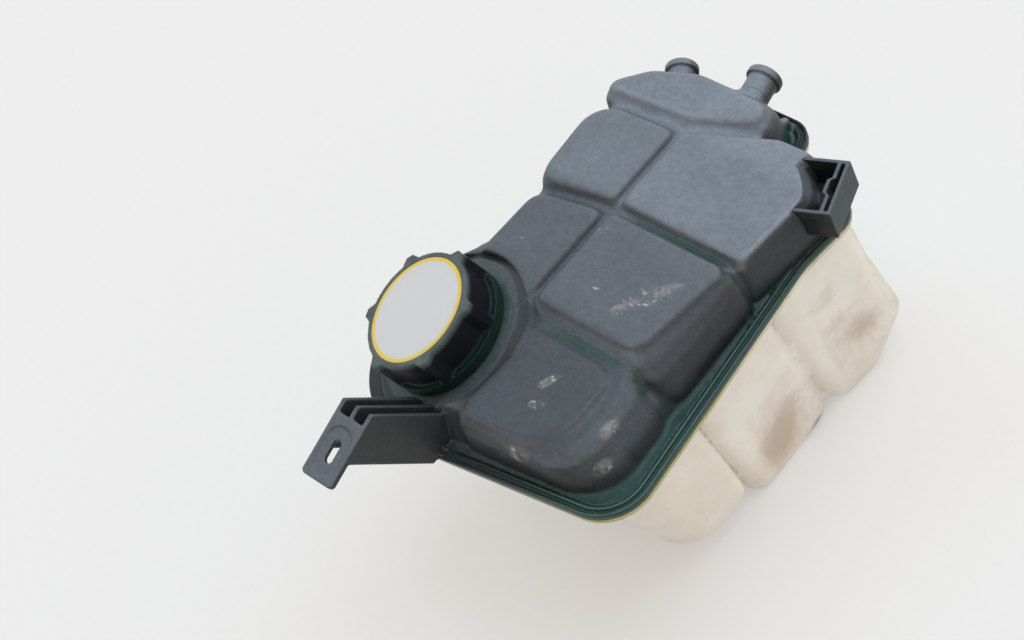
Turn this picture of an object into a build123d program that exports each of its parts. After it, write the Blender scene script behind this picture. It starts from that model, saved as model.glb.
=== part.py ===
"""Coolant expansion tank: two welded plastic halves and a screw cap with its valve cartridge.

Millimetres, +Z up. The tank stands on the flat underside of its lower half at Z = 0, with Y along
its length (hose spigots at the +Y end, filler at the -Y end) and X across it.
"""
import os
from math import atan2, cos, hypot, pi, radians, remainder, sin, tan

from build123d import *

# Heights of the two halves
rim_height = 102.0  # underside of the tank to the top of the weld flange
upper_lip = 4.5  # upper half's share of the weld flange
lower_lip = 3.5  # lower half's share of the weld flange
wall = 2.6
pillow_height = 30.0  # crowns of the large pillows above the flange
shoulder_height = 18.0  # where the side walls turn into the crowns
end_height = 26.0  # crown of the pillow beside the filler
groove_floor = 22.5  # bottoms of the grooves above the flange
lip_share = 0.5  # where the groove sides start to slope, between the shoulder and the crown
soft_edge = 2.5

# Weld flange
flange_width = 7.5  # from the side walls out to the edge of the flange
flange_step = 0.9  # how far the lower half's flange stands back
ridge_width = 1.5
ridge_height = 1.3
ridge_pitch = 3.6

# Plan of the tank: sides, ends and the grooves between the pillows
left_side = -82.0  # at the filler; the far end of the left side stands out further
left_flare = 5.5
filler_side = -103.0
far_end = 124.0
front_end = -115.0
long_groove = -24.0
groove_1 = 79.5
groove_2 = 27.0
groove_3 = -39.0
notch_far = 95.5  # far side of the tank on the right, where the outline steps back

# Filler: the neck leans to the left and to the front
lean_left = 13.88
lean_front = 14.61
ledge_centre = (-55.9, -64.4, rim_height + 17.0)
boss_radius = 39.5
boss_draft = 2.0
moat_width = 3.5
moat_depth = 8.0
neck_radius = 24.0
neck_bore = 20.0
neck_height = 18.2
clear_height = 60.0  # height over which the space round the neck is kept free

# Screw cap
cap_gap = 1.2  # between the ledge and the cap's collar
collar_radius = 33.8
collar_height = 5.5
grip_radius = 30.5
rib_radius = 34.0
rib_root = 11.0  # width where a rib meets the grip
rib_tip = 4.0
rib_count = 6
rib_turn = 22.0
cap_height = 25.0  # ledge to the top of the cap
skirt_clearance = 1.8
collar_room = 2.5  # free width round the collar
label_radius = 27.8
label_thickness = 0.6

# Valve cartridge inside the neck
cartridge_flange = 2.4
cartridge_radius = 18.6
cartridge_depth = 6.0  # below the ledge
cartridge_floor = 4.0
cartridge_bore = 13.5
seal_wire = 3.3
seal_height = 8.0
seal_squeeze_room = 0.3
retainer_thickness = 2.4
retainer_shoulder = 1.1
vent_radius = 2.5
lip_gap = 0.3  # between the neck's lip and the cartridge's flange
fit_clearance = 0.15
seat_clearance = 0.05

# Pressure valve and vacuum valve
port_radius = 8.0
seat_rib = 1.0
seat_rib_width = 2.0
plate_radius = 11.5
plate_thickness = 2.0
gasket_thickness = 1.5
gasket_bore = 4.0
stem_radius = 1.6
stem_clearance = 0.5
vacuum_head_radius = 6.0
vacuum_head_thickness = 1.5
vacuum_stroke_room = 5.5
clip_radius = 4.2
clip_thickness = 1.0
pressure_coil_radius = 9.5
pressure_wire = 1.6
pressure_turns = 4
vacuum_coil_radius = 3.0
vacuum_wire = 0.7
vacuum_turns = 3

# Hose spigots: centre of the end, turn from +Y towards -X, pipe and end bead
spigot_depth = 30.0  # from the end to the pipe's root inside the tank
pipe_wall = 2.2
bead_length = 4.0
bead_lead = 1.0
bleed_tip = (-15.5, 131.0, rim_height + 17.0)
bleed_turn = 12.0
bleed_pipe_radius = 7.6
bleed_bead_radius = 9.2
return_tip = (-62.0, 118.0, rim_height + 13.0)
return_turn = 38.0
return_pipe_radius = 7.0
return_bead_radius = 8.6
outlet_tip = (-40.0, 133.0, 52.0)
outlet_turn = 0.0
outlet_pipe_radius = 9.5
outlet_bead_radius = 11.0

# Mounting arm: three webs that climb from the front wall to a slotted tab
arm_right = -26.0
arm_width = 20.5
web_thickness = 2.4
tab_thickness = 3.4
tab_inner = (-135.5, rim_height + 53.0)  # Y and Z of the tab's upper face
tab_outer = (-166.0, rim_height + 42.8)
web_bend = (-129.5, rim_height + 55.0)
web_top_root = (-96.0, rim_height + 11.5)
web_foot = (-116.0, rim_height - 4.4)
web_tip = (-152.0, rim_height + 44.0)
tab_slot_width = 6.4
tab_slot_length = 13.0
tab_recess_width = 16.0
tab_recess_length = 25.0
tab_recess_depth = 0.8
tab_corner = 2.5
tab_slot_shift = 1.0  # from the middle of the tab outwards

# Clip bracket on the right: two cheeks, an outer plate and a stepped inner plate
clip_corner = (69.5, 86.7)  # middle of the outer face
clip_turn = 20.0
clip_top = rim_height + 29.0
clip_height = 18.0
clip_width = 31.5
clip_reach = 34.0
clip_plate = 4.0
clip_cheek = 3.0
clip_slot = 4.0
clip_step = 2.2

# Locating peg on the far edge of the flange
peg_centre = (3.0, 118.0)
peg_radius = 2.6
peg_height = 8.0

# Lower half
floor_step = 14.0  # height of the front cell's underside
haunch_height = 21.0  # where the far end wall turns inwards
waist_height = 54.0  # crease round the middle of the cells
lower_groove_1 = (-33.0, -20.0)  # groove between cells: Y at the flange and at the floor
lower_groove_2 = (31.0, 43.0)
lower_core_floor = 20.0  # bottom of the groove across the underside behind the front cell
keel_floor = 6.0  # bottom of the groove between the two far cells
floor_edge = 5.0

weld_plane = rim_height - upper_lip


def inset(corners, amounts):
    """Move each side of a counter-clockwise outline inwards by its own amount."""
    count = len(corners)
    if not isinstance(amounts, (list, tuple)):
        amounts = [amounts] * count
    sides = []
    for index, (x0, y0) in enumerate(corners):
        x1, y1 = corners[(index + 1) % count]
        length = hypot(x1 - x0, y1 - y0)
        nx, ny = (y0 - y1) / length, (x1 - x0) / length
        sides.append((nx, ny, nx * x0 + ny * y0 + amounts[index]))
    moved = []
    for index in range(count):
        a0, b0, c0 = sides[index - 1]
        a1, b1, c1 = sides[index]
        det = a0 * b1 - a1 * b0
        moved.append(((c0 * b1 - c1 * b0) / det, (a0 * c1 - a1 * c0) / det))
    return moved


def outline(corners, radii, height, shrink=0.0):
    """A level face with rounded corners, drawn in by an amount."""
    count = len(corners)
    ways = []
    lengths = []
    for index, (x0, y0) in enumerate(corners):
        x1, y1 = corners[(index + 1) % count]
        lengths.append(hypot(x1 - x0, y1 - y0))
        ways.append(atan2(y1 - y0, x1 - x0))
    turns = [remainder(ways[index] - ways[index - 1], 2 * pi) for index in range(count)]
    reach = [radius * abs(tan(turn / 2)) for radius, turn in zip(radii, turns)]
    room = [min(1.0, 0.95 * lengths[i] / (reach[i] + reach[(i + 1) % count])) for i in range(count)]
    reach = [length * min(room[index - 1], room[index]) for index, length in enumerate(reach)]
    arcs = []
    for (x, y), length, turn, before, after in zip(corners, reach, turns, [ways[-1]] + ways, ways):
        radius = length / abs(tan(turn / 2))
        middle = (before + turn / 2) + (pi / 2 if turn > 0 else -pi / 2)
        sagitta = radius / cos(turn / 2) - radius
        arcs.append((
            (x - length * cos(before), y - length * sin(before)),
            (x + sagitta * cos(middle), y + sagitta * sin(middle)),
            (x + length * cos(after), y + length * sin(after)),
        ))
    with BuildSketch(Plane.XY.offset(height)) as face:
        with BuildLine():
            for index, (start, middle, end) in enumerate(arcs):
                ThreePointArc(start, middle, end)
                Line(end, arcs[(index + 1) % count][0])
        make_face()
        if shrink:
            offset(amount=-shrink)
    return face.sketch


def lofted(levels, radii, soft=0.0, soft_top=True):
    """A cell of the tank: ruled walls through level outlines, with the edge of one end rounded."""
    levels = list(levels)
    if soft:
        end, corners = levels.pop(-1 if soft_top else 0)
        inward = -soft if soft_top else soft
        steps = [
            (end + inward * (1 - sin(bend)), inset(corners, soft * (1 - cos(bend))))
            for bend in (0, pi / 6, pi / 3, pi / 2)
        ]
        levels = levels + steps if soft_top else steps[::-1] + levels
    with BuildPart() as cell:
        loft(sections=[outline(corners, radii, height) for height, corners in levels], ruled=True)
    return cell.part


# Upper pillows: corners at the flange, at the shoulder and at the crown, with the corner radii
left_wall = left_side + flange_width
far_wall = far_end - flange_width
row_1 = [
    (left_wall - left_flare, groove_1 - 2.0),
    (long_groove, groove_1 + 1.0),
    (17.0, notch_far + 1.0),
    (9.0, far_wall),
    (-42.0, far_wall),
    (-66.0, far_wall - 10.0),
    (left_wall - left_flare, groove_1 + 11.0),
]
row_1_crown = [
    (left_wall - 3.0, groove_1 + 3.0),
    (long_groove - 1.0, groove_1 + 6.5),
    (9.2, notch_far + 3.3),
    (4.8, far_wall - 5.5),
    (-40.5, far_wall - 5.5),
    (-63.5, far_wall - 14.0),
    (left_wall - 3.0, groove_1 + 9.5),
]
groove_2_left = groove_2 - 8.5
row_2_left = [
    (left_wall - 1.0, groove_2_left),
    (long_groove + 0.5, groove_2),
    (long_groove + 0.5, groove_1 + 0.8),
    (left_wall - left_flare, groove_1 - 2.0),
]
row_2_right = [
    (long_groove - 0.5, groove_2),
    (57.0, groove_2),
    (62.0, notch_far - 10.5),
    (46.0, notch_far + 4.0),
    (24.0, notch_far + 4.0),
    (long_groove - 0.5, groove_1 + 1.2),
]
row_3_left = [
    (left_wall, groove_3),
    (long_groove + 0.5, groove_3),
    (long_groove + 0.5, groove_2),
    (left_wall + 2.0, groove_2_left),
]
row_3_right = [
    (long_groove - 0.5, groove_3),
    (63.5, groove_3),
    (59.5, groove_2),
    (long_groove - 0.5, groove_2),
]
row_3_shoulder = [
    (long_groove - 0.5, groove_3 + 0.3),
    (55.5, groove_3 + 0.3),
    (57.0, groove_2 - 0.3),
    (long_groove - 0.5, groove_2 - 0.3),
]
row_3_lip = [
    (long_groove - 0.1, groove_3 + 2.0),
    (50.3, groove_3 + 2.2),
    (55.2, groove_2 - 0.7),
    (long_groove - 0.1, groove_2 - 0.7),
]
row_3_crown = [
    (long_groove + 1.6, groove_3 + 6.2),
    (44.5, groove_3 + 6.7),
    (52.5, groove_2 - 2.4),
    (long_groove + 1.6, groove_2 - 2.4),
]
row_4 = [
    (-17.0, -104.5),
    (70.5, -92.5),
    (66.0, groove_3),
    (-17.0, groove_3),
]
row_4_shoulder = [
    (-17.0, -103.5),
    (57.0, -97.5),
    (51.0, groove_3 - 0.3),
    (-17.0, groove_3 - 0.3),
]
row_4_lip = [
    (-16.5, -101.5),
    (49.5, -95.8),
    (45.5, groove_3 - 1.2),
    (-16.5, groove_3 - 1.2),
]
row_4_crown = [
    (-15.3, -98.8),
    (42.0, -93.8),
    (40.0, groove_3 - 4.6),
    (-15.3, groove_3 - 4.6),
]
pillows = [
    # foot, shoulder, lip, crown, corner radii, height of the crown
    (row_1, inset(row_1, [0.3, 0.3, 1.5, 1.5, 1.2, 1.0, 0.8]),
     inset(row_1, [0.8, 0.8, 3.4, 3.2, 2.8, 2.4, 1.6]), row_1_crown, [4, 8, 9, 10, 18, 16, 9], pillow_height - 1.0),
    (row_2_left, inset(row_2_left, [0.3, 0.3, 0.3, 1.5]), inset(row_2_left, [0.7, 0.6, 0.7, 2.4]),
     inset(row_2_left, [3.2, 2.2, 3.0, 4.0]), [10, 5, 5, 16], pillow_height),
    (row_2_right, inset(row_2_right, [0.3, 0.7, 0.7, 0.7, 0.3, 0.3]),
     inset(row_2_right, [0.7, 1.3, 1.5, 1.5, 0.7, 0.6]),
     inset(row_2_right, [3.2, 2.0, 2.8, 2.8, 3.0, 2.2]), [4, 5, 15, 12, 10, 4], pillow_height),
    (row_3_left, inset(row_3_left, [0.3, 0.3, 0.3, 1.5]), inset(row_3_left, [0.8, 0.6, 0.7, 3.6]),
     inset(row_3_left, [4.0, 2.2, 3.0, 6.5]), [12, 5, 5, 9], pillow_height),
    (row_3_right, row_3_shoulder, row_3_lip, row_3_crown, [4, 10, 6, 4], pillow_height),
    (row_4, row_4_shoulder, row_4_lip, row_4_crown, [7, 26, 13, 4], end_height),
]


def lip_height(top):
    """Height above the flange at which the sides of a pillow start to slope into its crown."""
    return shoulder_height + lip_share * (top - shoulder_height)


# Outline of the weld flange, counter-clockwise from the filler corner, with its corner radii
flange_corners = [
    (filler_side, front_end),
    (-30.0, front_end),
    (80.5, front_end + 15.6),
    (62.5, 57.0),
    (66.0, notch_far),
    (19.0, 106.0),
    (16.0, far_end),
    (-50.0, far_end),
    (left_side - left_flare, far_end - 34.0),
    (left_side, -12.0),
    (filler_side, -42.0),
]
flange_radii = [50, 60, 25, 60, 14, 8, 14, 30, 25, 30, 34]


def flange_outline(shrink):
    """The flange's outline drawn in by an amount."""
    return outline(flange_corners, flange_radii, 0.0, shrink)


# Neck frame: origin at the centre of the ledge, Z along the neck
neck_axis = Vector(-tan(radians(lean_left)), -tan(radians(lean_front)), 1.0).normalized()
neck = Plane(origin=ledge_centre, x_dir=(1, 0, 0), z_dir=neck_axis)
neck_line = Axis(neck.origin, neck.z_dir)
neck_section = Plane(origin=neck.origin, x_dir=neck.x_dir, z_dir=-neck.y_dir)


def turned(*profiles):
    """A piece turned about the neck's axis from closed (radius, height) profiles."""
    with BuildPart() as piece:
        with BuildSketch(neck_section):
            for profile in profiles:
                with BuildLine():
                    Polyline(*profile, close=True)
                make_face()
        revolve(axis=neck_line)
    return piece.part


def neck_cylinder(radius, low, high, flare=0.0):
    """A round solid on the neck's axis, its lower end wider by the flare."""
    return turned([(0, low), (radius + flare, low), (radius, high), (0, high)])


# Middle of the upper half, which closes the grooves between the pillows
core_foot = inset(flange_corners, flange_width + 1.2)
core_top = [
    (-86.0, -98.0),
    (-30.0, -98.0),
    (38.0, -88.0),
    (50.0, 48.0),
    (55.0, 86.0),
    (12.0, 94.0),
    (7.0, 107.0),
    (-45.0, 107.0),
    (-71.0, 83.0),
    (-68.0, -8.0),
    (-86.0, -36.0),
]
core_radii = [34, 40, 16, 30, 8, 5, 8, 16, 12, 20, 24]
boss_root = -40.0
bore_root = -30.0

upper_pillows = [
    lofted([(weld_plane, foot), (rim_height + shoulder_height, shoulder),
            (rim_height + lip_height(top), lip), (rim_height + top, crown)], radii, soft_edge)
    for foot, shoulder, lip, crown, radii, top in pillows
]
upper_hollows = [
    lofted([(weld_plane - wall, inset(foot, wall)),
            (rim_height + shoulder_height - wall / 2, inset(shoulder, wall)),
            (rim_height + lip_height(top) - wall, inset(lip, wall)),
            (rim_height + top - wall, inset(crown, wall))],
           [max(radius - wall, 1.0) for radius in radii])
    for foot, shoulder, lip, crown, radii, top in pillows
]

# Space inside the upper half
with BuildPart() as upper_space:
    add(lofted([(weld_plane - wall, inset(core_foot, wall)),
                (rim_height + groove_floor - wall, inset(core_top, wall))], core_radii))
    add(upper_hollows)
    add(neck_cylinder(boss_radius + moat_width + wall, -moat_depth - wall, clear_height), mode=Mode.SUBTRACT)
    add(neck_cylinder(boss_radius - wall, boss_root, -wall, boss_draft))
    split(bisect_by=Plane.XY.offset(weld_plane - wall), keep=Keep.TOP)


def spigot_plane(tip, turn):
    """Level plane through a spigot: x across it, y outwards, origin at the centre of its end."""
    return Plane(origin=tip, x_dir=(cos(radians(turn)), sin(radians(turn)), 0), z_dir=(0, 0, 1))


def spigot(tip, turn, pipe_radius, bead_radius):
    """A hose spigot: pipe, end bead and lead-in."""
    level = spigot_plane(tip, turn)
    with BuildPart() as pipe:
        with BuildSketch(level):
            with BuildLine():
                Polyline((0, -spigot_depth), (pipe_radius, -spigot_depth),
                         (pipe_radius, -bead_length - bead_lead), (bead_radius, -bead_length),
                         (bead_radius, -bead_lead), (bead_radius - bead_lead, 0), (0, 0), close=True)
            make_face()
        revolve(axis=Axis(level.origin, level.y_dir))
    return pipe.part


def spigot_passage(tip, turn, pipe_radius):
    """The way through a spigot into the tank."""
    level = spigot_plane(tip, turn)
    with BuildPart() as passage:
        with BuildSketch(Plane(origin=level.origin + level.y_dir * wall, z_dir=-level.y_dir)):
            Circle(pipe_radius - pipe_wall)
        extrude(amount=spigot_depth + 2 * wall)
    return passage.part


# Mounting arm
tab_length = hypot(tab_outer[0] - tab_inner[0], tab_outer[1] - tab_inner[1])
tab_down = Vector(0, tab_outer[0] - tab_inner[0], tab_outer[1] - tab_inner[1]).normalized()
tab_plane = Plane(
    origin=(arm_right - arm_width / 2, *tab_inner),
    x_dir=(1, 0, 0),
    z_dir=Vector(1, 0, 0).cross(-tab_down),
)
with BuildPart() as arm:
    for side in (0.0, 0.5, 1.0):
        web_x = arm_right - web_thickness - side * (arm_width - web_thickness)
        with BuildSketch(Plane(origin=(web_x, 0, 0), x_dir=(0, 1, 0), z_dir=(1, 0, 0))):
            with BuildLine():
                Polyline(tab_inner, web_bend, web_top_root, (web_top_root[0], weld_plane),
                         (web_foot[0], weld_plane), web_tip, close=True)
            make_face()
        extrude(amount=web_thickness)
    with BuildSketch(tab_plane):
        with Locations((0, -tab_length / 2)):
            RectangleRounded(arm_width, tab_length, tab_corner)
    extrude(amount=-tab_thickness)
    with BuildSketch(tab_plane):
        with Locations((0, -tab_length / 2 - tab_slot_shift)):
            SlotOverall(tab_recess_length, tab_recess_width, rotation=90)
    extrude(amount=-tab_recess_depth, mode=Mode.SUBTRACT)
    with BuildSketch(tab_plane):
        with Locations((0, -tab_length / 2 - tab_slot_shift)):
            SlotOverall(tab_slot_length, tab_slot_width, rotation=90)
    extrude(amount=-4 * tab_thickness, mode=Mode.SUBTRACT)

# Clip bracket, drawn in plan: x outwards from the tank, y along the outer plate
clip_plane = Plane(
    origin=(*clip_corner, clip_top - clip_height),
    x_dir=(cos(radians(clip_turn)), sin(radians(clip_turn)), 0),
    z_dir=(0, 0, 1),
)
inner_plate = clip_plate + clip_slot
with BuildPart() as clip:
    with BuildSketch(clip_plane):
        with Locations((-clip_plate / 2, 0)):
            Rectangle(clip_plate, clip_width)
        with Locations((-clip_reach / 2, clip_width / 2 - clip_cheek / 2)):
            Rectangle(clip_reach, clip_cheek)
        with Locations((-clip_reach / 2, clip_cheek / 2 - clip_width / 2)):
            Rectangle(clip_reach, clip_cheek)
        with BuildLine():
            Polyline((-inner_plate, clip_width / 2), (-inner_plate, 2.0),
                     (-inner_plate - clip_step, -1.0), (-inner_plate - clip_step, -clip_width / 2),
                     (-inner_plate - clip_step - clip_cheek, -clip_width / 2),
                     (-inner_plate - clip_step - clip_cheek, 1.0), (-inner_plate - clip_cheek, 4.0),
                     (-inner_plate - clip_cheek, clip_width / 2), close=True)
        make_face()
    extrude(amount=clip_height)

with BuildPart() as upper_shell:
    # Walls: the core between the grooves, the pillows and the filler boss
    add(lofted([(weld_plane, core_foot), (rim_height + groove_floor, core_top)], core_radii))
    add(upper_pillows)
    add(neck_cylinder(boss_radius + moat_width, -moat_depth, clear_height), mode=Mode.SUBTRACT)
    add(neck_cylinder(boss_radius, boss_root, 0.0, boss_draft))
    # Outside features
    add(arm.part)
    add(clip.part)
    add(spigot(bleed_tip, bleed_turn, bleed_pipe_radius, bleed_bead_radius))
    add(spigot(return_tip, return_turn, return_pipe_radius, return_bead_radius))
    # Weld flange with its two ridges
    with BuildSketch(Plane.XY.offset(weld_plane)):
        add(flange_outline(0))
    extrude(amount=upper_lip)
    for place in (0.0, ridge_pitch):
        with BuildSketch(Plane.XY.offset(rim_height)):
            add(flange_outline(place))
            add(flange_outline(place + ridge_width), mode=Mode.SUBTRACT)
        extrude(amount=ridge_height)
    with BuildSketch(Plane.XY.offset(weld_plane)):
        with Locations(peg_centre):
            Circle(peg_radius)
    extrude(amount=upper_lip + peg_height)
    # Hollow, neck and passages
    split(bisect_by=Plane.XY.offset(weld_plane), keep=Keep.TOP)
    add(upper_space.part, mode=Mode.SUBTRACT)
    add(neck_cylinder(rib_radius + collar_room, 0.0, clear_height), mode=Mode.SUBTRACT)
    add(neck_cylinder(neck_radius, -wall, neck_height))
    add(neck_cylinder(neck_bore, bore_root, neck_height), mode=Mode.SUBTRACT)
    add(spigot_passage(bleed_tip, bleed_turn, bleed_pipe_radius), mode=Mode.SUBTRACT)
    add(spigot_passage(return_tip, return_turn, return_pipe_radius), mode=Mode.SUBTRACT)
upper_shell.part.label = "upper_shell"

# Lower cells: corners at the flange, at the haunch and at the floor
right_wall = 66.0
cell_1_top = [
    (filler_side + flange_width, front_end + flange_width),
    (-30.0, front_end + flange_width),
    (71.0, front_end + 22.0),
    (right_wall, lower_groove_1[0]),
    (filler_side + flange_width, lower_groove_1[0] - 2.0),
]
cell_1_floor = [
    (-80.0, -68.0),
    (-30.0, -68.0),
    (63.0, -67.0),
    (65.0, lower_groove_1[1] - 2.0),
    (-80.0, lower_groove_1[1] - 2.0),
]
cell_2_top = [
    (left_wall, lower_groove_1[0]),
    (right_wall - 1.0, lower_groove_1[0]),
    (58.5, lower_groove_2[0]),
    (left_wall, lower_groove_2[0]),
]
cell_2_floor = [
    (-70.0, lower_groove_1[1] + 2.0),
    (63.0, lower_groove_1[1] + 2.0),
    (60.0, lower_groove_2[1] - 2.0),
    (-70.0, lower_groove_2[1] - 2.0),
]
cell_2_waist = [
    (left_wall + 2.5, lower_groove_1[0] + 6.0),
    (59.0, lower_groove_1[0] + 6.0),
    (57.0, lower_groove_2[0] + 5.5),
    (left_wall + 2.5, lower_groove_2[0] + 5.5),
]
cell_3_top = [
    (left_wall - 2.0, lower_groove_2[0]),
    (57.5, lower_groove_2[0]),
    (60.5, 91.0),
    (11.0, far_wall),
    (-47.0, far_wall),
    (left_wall - left_flare, far_wall - 29.0),
]
cell_3_waist = [
    (left_wall + 1.5, lower_groove_2[0] + 5.5),
    (57.0, lower_groove_2[0] + 5.5),
    (62.0, 95.0),
    (16.0, far_wall - 2.0),
    (-47.0, far_wall - 2.0),
    (left_wall, far_wall - 29.0),
]
cell_3_haunch = [
    (-71.0, lower_groove_2[1] - 2.0),
    (62.0, lower_groove_2[1] - 2.0),
    (69.0, 100.0),
    (18.0, 112.0),
    (-47.0, 112.0),
    (-71.0, 86.0),
]
cell_3_floor = [
    (-68.0, lower_groove_2[1] + 2.0),
    (63.0, lower_groove_2[1] + 2.0),
    (66.0, 84.0),
    (20.0, 92.0),
    (-47.0, 92.0),
    (-68.0, 70.0),
]
lower_cells = [
    # levels from the floor up, corner radii
    ([(floor_step, cell_1_floor), (weld_plane, cell_1_top)], [30, 40, 20, 8, 20]),
    ([(0.0, cell_2_floor), (waist_height, cell_2_waist), (weld_plane, cell_2_top)], [12, 9, 9, 12]),
    ([(0.0, cell_3_floor), (haunch_height, cell_3_haunch), (waist_height, cell_3_waist),
      (weld_plane, cell_3_top)], [10, 9, 14, 14, 16, 10]),
]


def raised(levels, amount):
    """The same levels drawn in by the wall, with the floor lifted by it."""
    (floor, corners), *rest = levels
    return [(floor + amount, inset(corners, amount))] + [
        (height, inset(points, amount)) for height, points in rest
    ]


lower_outsides = [lofted(levels, radii, floor_edge, soft_top=False) for levels, radii in lower_cells]
lower_hollows = [
    lofted(raised(levels, wall), [max(radius - wall, 1.0) for radius in radii])
    for levels, radii in lower_cells
]
# The middle of the lower half, which closes the grooves between the cells
lower_core = [
    (lower_core_floor, [(-64.0, -56.0), (56.5, -56.0), (56.5, 62.0), (-62.0, 62.0)]),
    (weld_plane, [(-66.0, -80.0), (57.0, -80.0), (50.0, 84.0), (-66.0, 84.0)]),
]
keel = [
    (keel_floor, [(-62.0, 26.0), (57.0, 26.0), (57.0, 58.0), (-62.0, 58.0)]),
    (2 * lower_core_floor, [(-62.0, 22.0), (56.0, 22.0), (56.0, 60.0), (-62.0, 60.0)]),
]
lower_core_radii = [8, 8, 8, 8]

with BuildPart() as lower_space:
    add(lofted(raised(lower_core, wall), lower_core_radii))
    add(lofted(raised(keel, wall), lower_core_radii))
    add(lower_hollows)

with BuildPart() as lower_shell:
    add(lofted(lower_core, lower_core_radii))
    add(lofted(keel, lower_core_radii))
    add(lower_outsides)
    add(spigot(outlet_tip, outlet_turn, outlet_pipe_radius, outlet_bead_radius))
    with BuildSketch(Plane.XY.offset(weld_plane - lower_lip)):
        add(flange_outline(flange_step))
    extrude(amount=lower_lip)
    add(lower_space.part, mode=Mode.SUBTRACT)
    add(spigot_passage(outlet_tip, outlet_turn, outlet_pipe_radius), mode=Mode.SUBTRACT)
lower_shell.part.label = "lower_shell"

# Levels on the neck's axis, from the ledge
flange_low = neck_height + lip_gap
flange_high = flange_low + cartridge_flange
floor_low = -cartridge_depth
floor_high = floor_low + cartridge_floor
seal_major = neck_bore - seal_squeeze_room - seal_wire / 2
groove_root = seal_major - seal_wire / 2 - seat_clearance
groove_half = seal_wire / 2 + fit_clearance
retainer_low = flange_high - retainer_thickness
retainer_radius = cartridge_bore + retainer_shoulder

# Screw cap, which carries the cartridge's flange under its roof
roof_low = flange_high + seat_clearance
skirt_bore = neck_radius + skirt_clearance
label_floor = cap_height - label_thickness - fit_clearance
with BuildPart() as cap_cover:
    with BuildSketch(neck_section):
        with BuildLine():
            Polyline((0, cap_gap), (collar_radius, cap_gap), (collar_radius, cap_gap + collar_height),
                     (grip_radius, cap_gap + collar_height), (grip_radius, cap_height), (0, cap_height),
                     close=True)
        make_face()
    revolve(axis=neck_line)
    with BuildSketch(neck.offset(cap_gap)):
        with PolarLocations(0, rib_count, rib_turn):
            Polygon((skirt_bore, rib_root / 2), (skirt_bore, -rib_root / 2),
                    (grip_radius - 1.0, -rib_root / 2), (rib_radius, -rib_tip / 2),
                    (rib_radius, rib_tip / 2), (grip_radius - 1.0, rib_root / 2), align=None)
    extrude(amount=cap_height - cap_gap)
    with BuildSketch(neck.offset(cap_gap)):
        Circle(skirt_bore)
    extrude(amount=roof_low - cap_gap, mode=Mode.SUBTRACT)
    with BuildSketch(neck.offset(label_floor)):
        Circle(label_radius + fit_clearance)
    extrude(amount=cap_height, mode=Mode.SUBTRACT)
cap_cover.part.label = "cap_cover"

with BuildPart() as cap_label:
    with BuildSketch(neck.offset(label_floor)):
        Circle(label_radius)
    extrude(amount=label_thickness)
cap_label.part.label = "cap_label"

# Valve cartridge: flange on the neck's lip, body with a seal groove, shoulder for the retainer
with BuildPart() as valve_housing:
    with BuildSketch(neck_section):
        with BuildLine():
            Polyline((port_radius, floor_low), (cartridge_radius, floor_low),
                     (cartridge_radius, seal_height - groove_half), (groove_root, seal_height - groove_half),
                     (groove_root, seal_height + groove_half), (cartridge_radius, seal_height + groove_half),
                     (cartridge_radius, flange_low), (neck_radius, flange_low),
                     (neck_radius, flange_high), (retainer_radius, flange_high),
                     (retainer_radius, retainer_low), (cartridge_bore, retainer_low),
                     (cartridge_bore, floor_high), (port_radius + seat_rib_width, floor_high),
                     (port_radius + seat_rib_width, floor_high + seat_rib),
                     (port_radius, floor_high + seat_rib), close=True)
        make_face()
    revolve(axis=neck_line)
    with BuildSketch(neck_section):
        with Locations((0, (seal_height + groove_half + flange_low) / 2)):
            Circle(vent_radius)
    extrude(amount=2 * cartridge_radius, both=True, mode=Mode.SUBTRACT)
valve_housing.part.label = "valve_housing"

with BuildPart() as neck_seal:
    with BuildSketch(neck_section):
        with Locations((seal_major, seal_height)):
            Circle(seal_wire / 2)
    revolve(axis=neck_line)
neck_seal.part.label = "neck_seal"

with BuildPart() as spring_retainer:
    add(turned([(cartridge_bore / 3, retainer_low), (retainer_radius - fit_clearance, retainer_low),
                (retainer_radius - fit_clearance, flange_high), (cartridge_bore / 3, flange_high)]))
spring_retainer.part.label = "spring_retainer"

# Pressure valve: gasket on the seat rib, plate on the gasket
gasket_low = floor_high + seat_rib + seat_clearance
plate_low = gasket_low + gasket_thickness
plate_high = plate_low + plate_thickness
with BuildPart() as plate_gasket:
    add(turned([(gasket_bore, gasket_low), (plate_radius, gasket_low),
                (plate_radius, plate_low), (gasket_bore, plate_low)]))
plate_gasket.part.label = "plate_gasket"

with BuildPart() as pressure_plate:
    add(turned([(stem_radius + stem_clearance, plate_low), (plate_radius, plate_low),
                (plate_radius, plate_high), (stem_radius + stem_clearance, plate_high)]))
pressure_plate.part.label = "pressure_plate"

# Vacuum valve: head under the gasket, stem through the plate, clip on the stem
head_high = gasket_low - seat_clearance
head_low = head_high - vacuum_head_thickness
clip_low = plate_high + vacuum_stroke_room
with BuildPart() as vacuum_valve:
    add(turned([(0, head_low), (vacuum_head_radius, head_low), (vacuum_head_radius, head_high),
                (stem_radius, head_high), (stem_radius, clip_low + clip_thickness),
                (0, clip_low + clip_thickness)]))
vacuum_valve.part.label = "vacuum_valve"

with BuildPart() as stem_clip:
    add(turned([(stem_radius + seat_clearance, clip_low), (clip_radius, clip_low),
                (clip_radius, clip_low + clip_thickness),
                (stem_radius + seat_clearance, clip_low + clip_thickness)]))
stem_clip.part.label = "stem_clip"


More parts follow.
